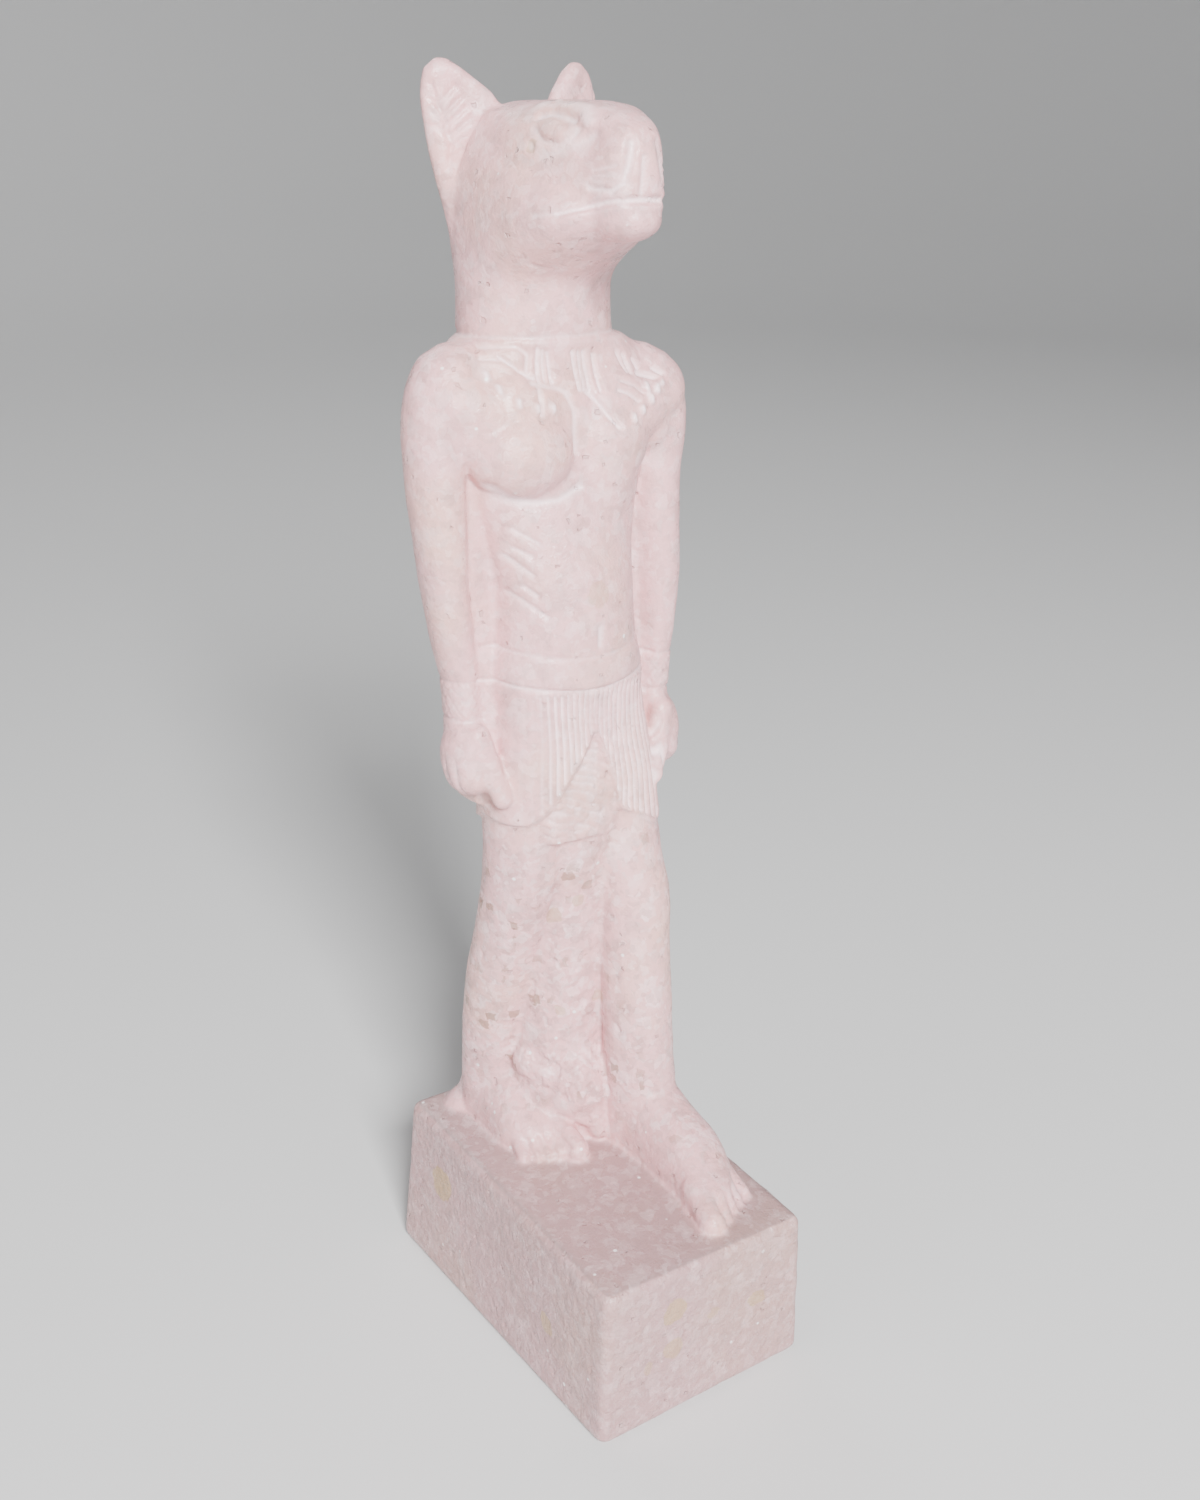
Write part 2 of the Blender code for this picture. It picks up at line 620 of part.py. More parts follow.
def bracelet_carving(points):
    """A raised band on each wrist."""
    x, y, z = points.T
    right, _ = offset_from(RIGHT_ARM, points)
    left, _ = offset_from(LEFT_ARM, points)
    on_right = within(z, 109.8, 116.0, 0.5) * near_skin(right, 0.8) * (x < -14.8)
    on_left = within(z, 109.2, 115.4, 0.5) * near_skin(left, 0.8) * (x > 15.4)
    return BRACELET_RISE * (on_right + on_left)


FINGER_GAPS = (-2.3, 0.1, 2.4)
FINGER_CUT = 0.3


def knuckle_carving(points, normals):
    """The three lines between the fingers of each closed hand."""
    x, y, z = points.T
    depth = np.zeros(len(points))
    for hand in (RIGHT_HAND, LEFT_HAND):
        on_hand = (1 - rise(z - hand.z, -1.5, 0.5)) * rise(z, hand.z - 9.5, hand.z - 8.5)
        on_hand *= np.abs(x - hand.x) < 6
        outside = rise(np.abs(normals[:, 0]), 0.2, 0.5)
        for gap in FINGER_GAPS:
            depth -= FINGER_CUT * np.exp(-(((y - hand.y - gap) / 0.45) ** 2)) * on_hand * outside
    return depth


# The mouth's line from the front to the cheek, Y and Z, and the eye's middle and half size, Y and Z too.
MOUTH = ((-12.0, 187.5), (-9.1, 187.5), (-7.2, 187.2), (-4.5, 186.6), (-2.0, 185.7), (4.0, 185.2))
EYE_MIDDLE = (1.2, 196.3)
EYE_HALF = (3.5, 2.2)
EYE_SLANT = 0.2
MOUTH_CUT = 0.45
LID_CUT = 0.35
EYEBALL_RISE = 0.35
MUZZLE_HOLLOW = 0.35


def face_carving(points, normals):
    """Mouth line, eyes with their lids, and the hollow between the eye and the muzzle."""
    x, y, z = points.T
    depth = np.zeros(len(points))
    on_face = (z > 178) * (y < 9)
    mouth = z - np.interp(y, *zip(*MOUTH))
    depth -= MOUTH_CUT * np.exp(-((mouth / 0.45) ** 2)) * on_face * (1 - rise(y, -1.5, 2.5))
    along, up = y - EYE_MIDDLE[0], z - EYE_MIDDLE[1]
    along, up = along - EYE_SLANT * up, up + EYE_SLANT * along
    ring = np.abs(along / EYE_HALF[0]) ** 1.6 + np.abs(up / EYE_HALF[1]) ** 1.6
    beside = on_face * rise(np.abs(normals[:, 0]), 0.2, 0.45)
    depth -= LID_CUT * np.exp(-(((ring - 1) / 0.25) ** 2)) * beside
    depth += EYEBALL_RISE * (1 - rise(ring, 0.0, 0.8)) * beside
    hollow = np.exp(-(((y + 4.6 + 0.25 * (z - 195)) / 1.6) ** 2)) * within(z, 190.5, 198.5, 3)
    return depth - MUZZLE_HOLLOW * hollow * beside


EAR_HOLLOW = 0.8


def ear_carving(points, normals):
    """The hollow in the front of each ear."""
    depth = np.zeros(len(points))
    for ear in (RIGHT_EAR, LEFT_EAR):
        back = np.array(ear_place(ear).inverted())
        local = points @ back[:3, :3].T + back[:3, 3]
        level = smooth_levels(ear_levels(ear["lean"]), local[:, 2])
        leaf = np.abs(local[:, 0] - level[:, 1]) / np.maximum(level[:, 3] - 1.1, 0.3)
        ahead = rise(-normals[:, 1], 0.3, 0.6)
        inside = (1 - rise(leaf, 0.45, 1.0)) * within(local[:, 2], 191, 204.2, 1.5)
        depth -= EAR_HOLLOW * inside * ahead * near_skin(np.abs(local[:, 1]), 3.0) * (points[:, 2] > 188)
    return depth


def carve(mesh):
    """Cuts the carving into the rounded stone, each stroke along the surface's own normal."""
    for cut in (kilt_carving, face_carving, ear_carving, knuckle_carving):
        points, normals = points_of(mesh), normals_of(mesh)
        set_points(mesh, points + normals * cut(points, normals)[:, None])
    for raise_up in (belt_carving, bracelet_carving):
        points, normals = points_of(mesh), normals_of(mesh)
        set_points(mesh, points + normals * raise_up(points)[:, None])


# The underside lies a little lower than the height that the carving was measured from.
UNDERSIDE = -0.5

# The block's corners, as hand-cut: right or left, front or back, then X and Y at the top and at the bottom.
BASE_CORNERS = {
    ("right", "front"): ((-19.7, -32.7), (-20.5, -33.0)),
    ("right", "back"): ((-18.9, 32.9), (-21.8, 33.0)),
    ("left", "front"): ((19.5, -33.3), (21.2, -32.5)),
    ("left", "back"): ((21.8, 32.9), (22.2, 33.0)),
}


def base_block():
    """The block, a cube with its corners moved as the hand-cut block has them, and its edges worn round."""
    block = bmesh.new()
    bmesh.ops.create_cube(block, size=1)
    for corner in block.verts:
        side = "right" if corner.co.x < 0 else "left"
        end = "front" if corner.co.y < 0 else "back"
        top, bottom = BASE_CORNERS[side, end]
        corner.co = (*top, BASE_HEIGHT) if corner.co.z > 0 else (*bottom, UNDERSIDE)
    mesh = bpy.data.meshes.new("base_block")
    block.to_mesh(mesh)
    block.free()
    base = bpy.data.objects.new("base_block", mesh)
    bpy.context.scene.collection.objects.link(base)
    bevel = base.modifiers.new("worn_edges", "BEVEL")
    bevel.width = BASE_EDGE
    bevel.segments = 4
    bevel.limit_method = "NONE"
    return base


def stone_material():
    stone = bpy.data.materials.new("crushed_pale_stone")
    stone.use_nodes = True
    shader = stone.node_tree.nodes["Principled BSDF"]
    shader.inputs["Base Color"].default_value = STONE_COLOUR
    shader.inputs["Roughness"].default_value = STONE_ROUGHNESS
    shader.inputs["Metallic"].default_value = 0.0
    return stone


def thinned(mesh, triangles):
    """The same surface with fewer faces, most of them where the carving is."""
    figure = bpy.data.objects.new("figure", mesh)
    bpy.context.scene.collection.objects.link(figure)
    mesh.calc_loop_triangles()
    decimate = figure.modifiers.new("fewer_faces", "DECIMATE")
    decimate.ratio = triangles / len(mesh.loop_triangles)
    decimate.use_collapse_triangulate = True
    return figure


def evaluated_mesh(thing):
    graph = bpy.context.evaluated_depsgraph_get()
    return bpy.data.meshes.new_from_object(thing.evaluated_get(graph))


def main():
    for old in list(bpy.data.objects):
        bpy.data.objects.remove(old)
    stone = bmesh.new()
    add_trunk(stone)
    add_head(stone)
    add_arms(stone)
    add_legs(stone)
    skin = fused(stone, CARVING_GRAIN)
    drop_hollows(skin)
    relax(skin, ROUNDING_PASSES, rounding_share)
    carve(skin)
    figure = thinned(skin, FIGURE_TRIANGLES)
    base = base_block()
    union = base.modifiers.new("one_stone", "BOOLEAN")
    union.operation = "UNION"
    union.object = figure
    whole = evaluated_mesh(base)
    drop_hollows(whole)
    whole.transform(Matrix.Scale(MILLIMETRE, 4) @ Matrix.Translation((0, 0, -UNDERSIDE)))
    whole.name = "bastet_cat_figure"
    for helper in (figure, base):
        bpy.data.objects.remove(helper)
    kept = bpy.data.collections.new("bastet_cat_figure")
    bpy.context.scene.collection.children.link(kept)
    statue = bpy.data.objects.new("bastet_cat_figure", whole)
    kept.objects.link(statue)
    statue.data.materials.clear()
    statue.data.materials.append(stone_material())
    statue.data.shade_smooth()
    statue.data.set_sharp_from_angle(angle=radians(50))


main()
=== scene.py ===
"""The looks of the cat-headed stone figure: one carved mesh, its stone, the light and the camera.

The figure is made as the CAD solid is, from the same masses fused and rounded off, on a finer grain. Then it gets
the finer carving: collar strokes, whiskers, ears, ribs, pleats, toes, pits and rough stone. Lengths are in
millimetres while the stone is shaped. +Z is up, the figure faces -Y and its right side is at -X.
"""

from collections import namedtuple
from math import cos, pi, radians, sin

import bmesh
import bpy
import numpy as np
from mathutils import Matrix, Vector


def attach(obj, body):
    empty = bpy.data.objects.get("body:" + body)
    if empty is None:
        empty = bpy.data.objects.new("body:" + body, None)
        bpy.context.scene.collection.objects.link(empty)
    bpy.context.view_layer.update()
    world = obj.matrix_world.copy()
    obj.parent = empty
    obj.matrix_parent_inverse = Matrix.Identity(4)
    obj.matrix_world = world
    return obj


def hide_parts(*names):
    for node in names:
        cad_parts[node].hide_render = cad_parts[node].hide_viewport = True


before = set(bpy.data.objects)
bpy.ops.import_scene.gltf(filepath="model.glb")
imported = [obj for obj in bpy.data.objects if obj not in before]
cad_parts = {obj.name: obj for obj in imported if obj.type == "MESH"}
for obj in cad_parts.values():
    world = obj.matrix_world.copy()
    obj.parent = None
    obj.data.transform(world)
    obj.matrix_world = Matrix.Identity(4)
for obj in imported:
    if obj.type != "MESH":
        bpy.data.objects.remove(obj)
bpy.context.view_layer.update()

MILLIMETRE = 0.001

# Driving sizes, as in the CAD solid
BASE_HEIGHT = 28.3
BASE_EDGE = 1.5
BELT_HEIGHT = 118.7
EAR_TIP_HEIGHT = 205.9
PILLAR_BACK = 28.6

# How finely the stone is worked
CARVING_GRAIN = 0.36
STONE_TRIANGLES = 190000
ROUNDING_PASSES = 20

# A loft with a shaped lower edge turns in under that edge, to this share of its width.
LIP = 0.75

# A level of a loft: how high it is, its middle, its half width and its reach to the front and to the back.
# In a loft that runs along Y, "at" is Y and the two reaches are down and up.
Level = namedtuple("Level", "at side mid half fore aft square", defaults=(2.0,))


def smooth_levels(levels, ats):
    """The levels' values at the heights given, on smooth curves through them."""
    table = np.array(levels)
    known = table[:, 0]
    slopes = np.gradient(table, known, axis=0)
    ats = np.clip(ats, known[0], known[-1])
    low = np.clip(np.searchsorted(known, ats, side="right") - 1, 0, len(known) - 2)
    span = (known[low + 1] - known[low])[:, None]
    t = (ats - known[low])[:, None] / span
    start, end = table[low], table[low + 1]
    lift = slopes[low] * span * (t * (1 - t) ** 2) - slopes[low + 1] * span * (t**2 * (1 - t))
    return start + (end - start) * (t**2 * (3 - 2 * t)) + lift


def round_corner(value, square):
    return np.sign(value) * np.abs(value) ** (2.0 / square)


def loft(stone, levels, rings=24, sides=32, along="Z", place=None, bottom=None):
    """A closed skin through the levels. bottom, if given, is the height of each point of the lowest ring."""
    first, last = levels[0][0], levels[-1][0]
    place = place or Matrix.Identity(4)
    turns = np.linspace(0, 2 * pi, sides, endpoint=False)
    skin = []
    for step in range(rings + 1):
        share = step / rings
        ats = np.full(sides, first + (last - first) * share)
        for _ in range(3 if bottom else 1):
            level = smooth_levels(levels, ats)
            side, mid, half, fore, aft, square = level[:, 1:].T
            across = side + half * round_corner(np.cos(turns), square)
            reach = np.where(np.sin(turns) < 0, fore, aft)
            deep = mid + reach * round_corner(np.sin(turns), square)
            if bottom:
                lowest = bottom(across, deep)
                ats = lowest + (last - lowest) * share
        if bottom and step == 0:
            inner = ring_of(stone, side + LIP * (across - side), mid + LIP * (deep - mid), ats, along, place)
            skin.append(inner)
        skin.append(ring_of(stone, across, deep, ats, along, place))
    faces = []
    for lower, upper in zip(skin, skin[1:]):
        for i in range(sides):
            j = (i + 1) % sides
            faces.append(stone.faces.new((lower[i], lower[j], upper[j], upper[i])))
    faces.append(stone.faces.new(skin[0][::-1]))
    faces.append(stone.faces.new(skin[-1]))
    bmesh.ops.recalc_face_normals(stone, faces=faces)


def ring_of(stone, across, deep, ats, along, place):
    """One ring of a loft, as corners of the stone."""
    ring = []
    for x, y, z in zip(across, deep, ats):
        point = Vector((x, y, z)) if along == "Z" else Vector((x, z, y))
        ring.append(stone.verts.new(place @ point))
    return ring


def add_shape(stone, build, **sizes):
    """Builds one of Blender's own shapes by itself, which is quick, and puts it into the stone."""
    shape = bmesh.new()
    build(shape, **sizes)
    mesh = bpy.data.meshes.new("shape")
    shape.to_mesh(mesh)
    shape.free()
    stone.from_mesh(mesh)
    bpy.data.meshes.remove(mesh)


def ball(stone, centre, radii, turn=None):
    """An ellipsoid, turned about its own centre."""
    place = Matrix.Translation(centre) @ (turn or Matrix.Identity(4)) @ Matrix.Diagonal((*radii, 1))
    add_shape(stone, bmesh.ops.create_uvsphere, u_segments=28, v_segments=18, radius=1, matrix=place)


def rod(stone, start, end, start_radius, end_radius):
    """A tapered rod with round ends, such as a finger or a toe."""
    start, end = Vector(start), Vector(end)
    run = end - start
    turn = run.to_track_quat("Z", "Y").to_matrix().to_4x4()
    add_shape(
        stone,
        bmesh.ops.create_cone,
        cap_ends=True,
        segments=20,
        radius1=start_radius,
        radius2=end_radius,
        depth=run.length,
        matrix=Matrix.Translation((start + end) / 2) @ turn,
    )
    ball(stone, start, (start_radius,) * 3)
    ball(stone, end, (end_radius,) * 3)


TORSO = (
    Level(109, 0.4, 10.0, 12.4, 7.6, 9.2),
    Level(113, 0.3, 9.8, 13.5, 8.9, 9.8),
    Level(120, 0.0, 10.2, 12.5, 9.6, 9.8),
    Level(128, 0.0, 10.9, 12.0, 10.1, 10.2),
    Level(136, -0.2, 12.0, 12.9, 9.4, 10.2),
    Level(144, -0.4, 13.2, 15.2, 8.8, 10.2),
    Level(150, -0.5, 13.9, 17.6, 8.6, 10.2),
    Level(156, -0.5, 14.2, 19.8, 8.5, 10.0),
    Level(161, -0.6, 14.6, 20.6, 8.2, 9.6),
    Level(164.6, -0.7, 15.2, 18.8, 8.0, 9.6),
    Level(167.0, -0.9, 16.0, 14.2, 8.6, 10.2),
    Level(168.8, -1.0, 16.5, 11.6, 9.4, 10.8),
)

KILT = (
    Level(86, 1.9, 10.6, 16.3, 9.2, 12.4, 2.5),
    Level(92, 1.6, 10.4, 15.8, 9.0, 12.2, 2.5),
    Level(100, 1.0, 10.1, 14.7, 8.8, 11.6, 2.4),
    Level(108, 0.5, 9.9, 13.7, 8.5, 10.8, 2.2),
    Level(118, 0.2, 9.9, 12.3, 9.3, 10.0, 2.1),
)
HEM_BACK = 89.0

# The lower edge of the two front panels, X and Z: it rises from the right hip to a point and falls away again on
# the left, so the tab shows between them.
PANEL_HEM = (
    (-11.0, 92.0),
    (-9.3, 93.0),
    (-7.2, 95.0),
    (-4.1, 99.3),
    (-1.6, 102.9),
    (-0.4, 105.2),
    (0.5, 107.6),
    (1.3, 105.8),
    (2.4, 103.6),
    (3.6, 100.4),
    (4.9, 96.4),
    (5.7, 92.4),
    (15.0, 87.0),
)


def hem(across, deep):
    """Height of the kilt's lower edge."""
    front = np.interp(across, *zip(*PANEL_HEM))
    side = np.interp(across, (-12, 15), (92.0, 87.0))
    beside = side + (HEM_BACK - side) * rise(deep, 12, 20)
    return front + (beside - front) * rise(deep, 5, 8)


# The front tab of the kilt, which hangs lower than the two panels and lies behind them.
TAB = (
    Level(88.4, -0.6, 6.4, 6.9, 4.0, 4.0, 6.0),
    Level(96.0, -0.4, 6.4, 7.0, 4.1, 4.0, 6.0),
    Level(102.0, 0.2, 6.4, 5.2, 4.1, 4.0, 4.0),
    Level(107.0, 0.8, 6.4, 2.2, 4.3, 4.0, 3.0),
    Level(112.0, 1.0, 6.4, 0.9, 4.4, 4.0, 2.4),
)

# The neck's front runs forward into the throat and under the jaw.
NECK = (
    Level(163, -1.2, 16.4, 12.4, 9.6, 11.4),
    Level(169, -1.2, 16.6, 12.3, 9.8, 11.4),
    Level(173, -1.2, 16.7, 12.1, 10.0, 11.4),
    Level(176, -1.2, 16.9, 12.1, 11.0, 11.4),
    Level(179, -1.2, 17.0, 12.1, 15.2, 11.4, 2.2),
    Level(182, -1.1, 17.2, 12.1, 20.2, 11.2, 2.5),
    Level(185, -1.1, 17.4, 12.0, 23.0, 11.2, 2.7),
    Level(190, -1.0, 17.8, 11.6, 20.0, 10.6, 2.3),
    Level(196, -0.9, 18.2, 9.6, 12.0, 9.2),
    Level(199.0, -0.8, 18.2, 7.5, 6.0, 6.0),
)

HEAD = (
    Level(-10.4, 0, 191.2, 1.8, 3.2, 2.8, 2.4),
    Level(-9.9, 0, 191.2, 3.2, 5.9, 4.4, 2.5),
    Level(-8.8, 0, 191.3, 4.3, 7.4, 5.6, 2.6),
    Level(-7.0, 0, 191.4, 5.2, 8.4, 6.8, 2.7),
    Level(-4.5, 0, 191.4, 5.9, 9.2, 7.8, 2.8),
    Level(-0.5, -0.1, 191.2, 7.5, 10.6, 8.9, 2.8),
    Level(4.0, -0.2, 190.8, 9.0, 11.8, 9.6, 2.7),
    Level(9.0, -0.5, 190.0, 10.2, 12.6, 10.5, 2.6),
    Level(14.0, -0.7, 189.0, 10.8, 13.4, 11.4, 2.4),
    Level(20.0, -0.8, 188.5, 11.2, 14.0, 11.8, 2.2),
    Level(25.0, -0.9, 188.0, 10.0, 13.4, 10.7, 2.1),
    Level(28.2, -0.9, 187.0, 5.5, 10.0, 7.5, 2.0),
)


def ear_levels(lean):
    """An ear's leaf in its own plane: a teardrop, widest over the crown, its tip leaning outwards."""
    return (
        Level(176.0, 0.4, 0, 1.0, 1.2, 1.2),
        Level(184.0, 0.6, 0, 2.2, 1.8, 1.8),
        Level(190.0, 0.6, 0, 3.8, 2.1, 2.1),
        Level(194.0, 0.2, 0, 5.1, 2.2, 2.2),
        Level(198.0, 0.0, 0, 5.9, 2.1, 2.1),
        Level(200.5, 0.15 * lean, 0, 5.7, 1.9, 1.9),
        Level(203.2, 0.65 * lean, 0, 3.9, 1.6, 1.6),
        Level(205.0, 0.95 * lean, 0, 2.3, 1.3, 1.3),
        Level(EAR_TIP_HEIGHT, lean, 0, 0.9, 0.7, 0.7),
    )


EAR_TURN = radians(20)
RIGHT_EAR = {"middle": (-10.7, 21.0), "lean": 3.0, "sign": -1}
LEFT_EAR = {"middle": (8.1, 20.8), "lean": 0.8, "sign": 1}


def ear_place(ear):
    """From the leaf's own plane, its outer edge at +X, to the head."""
    turn = EAR_TURN if ear["sign"] > 0 else pi - EAR_TURN
    return Matrix.Translation((*ear["middle"], 0)) @ Matrix.Rotation(turn, 4, "Z")


RIGHT_ARM = (
    Level(100, -17.4, 12.6, 2.8, 3.4, 4.6),
    Level(108.8, -17.2, 12.9, 2.7, 3.3, 4.4),
    Level(114.5, -17.3, 13.0, 2.8, 3.3, 4.4),
    Level(121.5, -18.5, 13.2, 3.1, 3.9, 5.0),
    Level(127, -19.3, 13.2, 3.3, 4.2, 5.2),
    Level(133, -20.0, 13.2, 3.5, 4.5, 5.4),
    Level(139, -20.4, 13.2, 3.8, 4.8, 5.5),
    Level(145, -20.8, 13.3, 4.2, 5.1, 5.8),
    Level(150.4, -20.8, 13.5, 4.4, 5.3, 6.0),
    Level(155, -20.5, 13.8, 4.7, 5.4, 6.1),
    Level(159, -19.6, 14.0, 5.1, 5.4, 6.0),
    Level(162.5, -18.2, 14.2, 5.3, 5.3, 5.8),
    Level(165.4, -17.0, 14.6, 4.4, 4.6, 4.8),
    Level(167.0, -15.8, 14.8, 2.4, 2.8, 3.0),
)
LEFT_ARM = (
    Level(100, 18.2, 11.8, 3.0, 3.6, 5.0),
    Level(107, 18.2, 11.8, 2.9, 3.5, 5.0),
    Level(113, 18.3, 12.0, 3.1, 3.7, 5.0),
    Level(120, 18.7, 12.3, 3.6, 4.4, 5.2),
    Level(130, 18.9, 12.6, 4.2, 5.2, 5.6),
    Level(138, 18.5, 12.8, 4.3, 5.5, 5.8),
    Level(146, 18.6, 13.0, 4.5, 5.2, 6.0),
    Level(152, 19.3, 13.0, 4.8, 5.0, 6.1),
    Level(157, 18.8, 13.3, 5.2, 5.2, 6.2),
    Level(161, 17.2, 13.6, 5.4, 5.4, 5.8),
    Level(164, 16.0, 14.0, 4.4, 4.8, 4.8),
    Level(165.6, 14.8, 14.2, 2.4, 2.8, 3.0),
)

RIGHT_LEG = (
    Level(25, -7.0, 23.6, 5.6, 7.0, 6.0),
    Level(34, -7.0, 23.6, 5.4, 6.8, 5.6),
    Level(45, -7.0, 22.2, 5.8, 7.0, 6.0),
    Level(57, -6.9, 19.6, 6.3, 7.4, 6.6),
    Level(70, -6.8, 15.4, 6.3, 7.4, 6.8),
    Level(80, -6.8, 12.8, 6.5, 7.8, 7.0),
    Level(92, -6.9, 11.0, 6.8, 7.5, 8.0),
    Level(105, -6.5, 10.0, 7.0, 7.4, 9.0),
)
LEFT_LEG = (
    Level(25, 11.0, 3.4, 6.8, 8.6, 6.2),
    Level(34, 10.9, 2.6, 6.6, 7.8, 6.2),
    Level(40, 10.6, 2.0, 6.3, 7.2, 6.0),
    Level(46, 10.3, 1.8, 6.1, 6.6, 6.0),
    Level(57, 10.2, 2.4, 6.0, 6.2, 6.6),
    Level(68, 10.6, 4.0, 6.1, 6.2, 6.8),
    Level(76, 10.8, 4.9, 6.2, 6.1, 6.8),
    Level(81, 10.3, 6.0, 6.2, 5.6, 7.0),
    Level(86, 10.1, 7.4, 6.5, 5.6, 7.2),
    Level(95, 8.8, 9.2, 6.8, 6.2, 8.0),
    Level(105, 7.5, 10.0, 7.2, 5.5, 9.0),
)

# Feet run along Y, from the toes to the heel.
RIGHT_FOOT = (
    Level(4.0, -5.2, 28, 3.2, 3, 3.2, 2.4),
    Level(6.0, -5.8, 28, 4.5, 3, 4.8, 2.4),
    Level(8.5, -6.2, 28, 5.5, 3, 6.4, 2.4),
    Level(11.0, -6.4, 28, 6.0, 3, 7.8, 2.4),
    Level(16.0, -6.6, 28, 5.7, 3, 10.5, 2.3),
    Level(23.0, -6.8, 28, 5.4, 3, 12.0, 2.2),
    Level(28.6, -6.8, 28, 4.8, 3, 8.0, 2.0),
    Level(30.6, -6.6, 28, 3.4, 3, 4.0, 2.0),
)
LEFT_FOOT = (
    Level(-28.2, 6.4, 28, 2.0, 3, 2.0, 2.6),
    Level(-26.6, 7.2, 28, 3.4, 3, 2.9, 2.6),
    Level(-24.4, 8.2, 28, 4.7, 3, 4.3, 2.6),
    Level(-21.0, 9.3, 28, 5.5, 3, 5.9, 2.6),
    Level(-18.0, 10.4, 28, 5.6, 3, 7.4, 2.6),
    Level(-15.0, 11.0, 28, 6.1, 3, 8.7, 2.6),
    Level(-8.0, 11.2, 28, 6.1, 3, 11.0, 2.5),
    Level(-1.0, 11.1, 28, 6.1, 3, 13.8, 2.4),
    Level(5.0, 10.8, 28, 5.6, 3, 12.0, 2.2),
    Level(9.0, 10.4, 28, 3.8, 3, 5.0, 2.0),
)

# The stone left standing between the legs. Its front runs from the left leg back to the right shin.
LEG_FILL = (
    Level(26, 2.0, 16, 9.4, 12.0, 9, 2.4),
    Level(30, 2.0, 16, 9.4, 11.4, 9, 2.4),
    Level(36, 2.0, 16, 9.2, 10.2, 9, 2.4),
    Level(46, 2.2, 16, 8.8, 9.8, 9, 2.4),
    Level(60, 2.2, 16, 8.6, 10.4, 9, 2.4),
    Level(78, 1.8, 15, 8.2, 10.6, 9, 2.5),
    Level(88, 1.4, 14, 8.0, 11.2, 9, 2.8),
    Level(96, 1.0, 14, 8.0, 10.6, 9, 2.8),
)
FOOT_LUMP = {"middle": (2.0, 8.8, 38.4), "radii": (6.4, 6.6, 8.6)}
LUMP_TIP = ((1.8, 6.6, 38.0), (3.7, 4.0, 30.4), 4.0, 2.1)
INSTEP_LUMP = ((-4.8, 13.2, 42.6), (1.0, 8.2, 39.0), 3.4, 4.2)
HEEL_FILLET = {"middle": (-6.6, 27.0, 25.0), "radii": (9.4, 5.8, 7.2)}


def arm_web(side):
    """The stone left between an arm and the body, set back a little from both."""
    return (
        Level(94, side * 11.0, 16.4, 4.6, 6.0, 4.9, 3.0),
        Level(103, side * 12.2, 16.4, 4.4, 7.6, 4.9, 2.6),
        Level(112, side * 12.4, 16.4, 4.6, 6.6, 4.9, 2.6),
        Level(122, side * 13.2, 16.5, 5.2, 5.6, 5.0, 3.0),
        Level(134, side * 14.6, 16.6, 5.2, 5.5, 5.0, 3.0),
        Level(150, side * 15.4, 17.0, 5.0, 5.8, 5.2, 3.0),
        Level(158, side * 14.0, 17.0, 5.0, 6.0, 4.4, 3.0),
    )


# The narrow pillar down the back, from the nape to the base.
PILLAR = (
    Level(25, -0.4, 22.0, 6.0, 6.0, PILLAR_BACK - 22.0, 6.0),
    Level(90, -0.4, 22.0, 5.6, 6.0, PILLAR_BACK - 22.0, 6.0),
    Level(160, -0.6, 22.0, 5.4, 6.0, PILLAR_BACK - 22.3, 6.0),
    Level(168, -0.8, 21.5, 5.2, 5.0, PILLAR_BACK - 22.8, 4.0),
)

# The right breast is a full lower ball under a flatter one that slopes up to the collar. The left one is flatter
# and runs out into the ribs below it. A small ball fills the hollow beside each armpit. Each ball has its middle
# and its radii.
BREASTS = (
    ((-8.6, 9.3, 151.2), (8.9, 7.2, 7.4)),
    ((-8.0, 11.0, 156.0), (9.2, 6.6, 8.6)),
    ((6.6, 9.9, 151.6), (7.6, 6.9, 7.6)),
    ((7.0, 11.2, 156.0), (9.0, 6.6, 8.6)),
    ((5.4, 11.2, 146.4), (7.8, 7.6, 10.6)),
    ((-16.6, 11.4, 154.6), (4.4, 4.2, 5.2)),
    ((16.2, 11.4, 153.6), (4.4, 4.2, 5.2)),
)

# A full muscle runs from each breast to the shoulder.
SHOULDER_START = (9.0, 11.0, 154.6)
SHOULDER_END = (17.4, 12.4, 158.4)
SHOULDER_RADII = (6.6, 5.8)

# One side of the face: the whisker pad. The chin lies under both.
PAD = {"middle": (2.4, -5.4, 190.9), "radii": (3.0, 4.0, 3.6)}
CHIN = {"middle": (0, -4.9, 184.9), "radii": (5.0, 6.1, 3.2)}


def add_trunk(stone):
    loft(stone, TORSO, rings=40, sides=48)
    loft(stone, KILT, rings=30, sides=160, bottom=hem)
    loft(stone, TAB, rings=12, sides=40)
    loft(stone, PILLAR, rings=12, sides=48)
    for breast in BREASTS:
        ball(stone, *breast)
    for side in (-1, 1):
        start, end = (Vector((side * x, y, z)) for x, y, z in (SHOULDER_START, SHOULDER_END))
        rod(stone, start, end, *SHOULDER_RADII)
        loft(stone, arm_web(side), rings=12)


def add_head(stone):
    loft(stone, NECK, rings=24, sides=48)
    loft(stone, HEAD, rings=40, sides=48, along="Y")
    for side in (-1, 1):
        x, y, z = PAD["middle"]
        ball(stone, (side * x, y, z), PAD["radii"])
    ball(stone, CHIN["middle"], CHIN["radii"])
    for ear in (RIGHT_EAR, LEFT_EAR):
        loft(stone, ear_levels(ear["lean"]), rings=20, place=ear_place(ear))


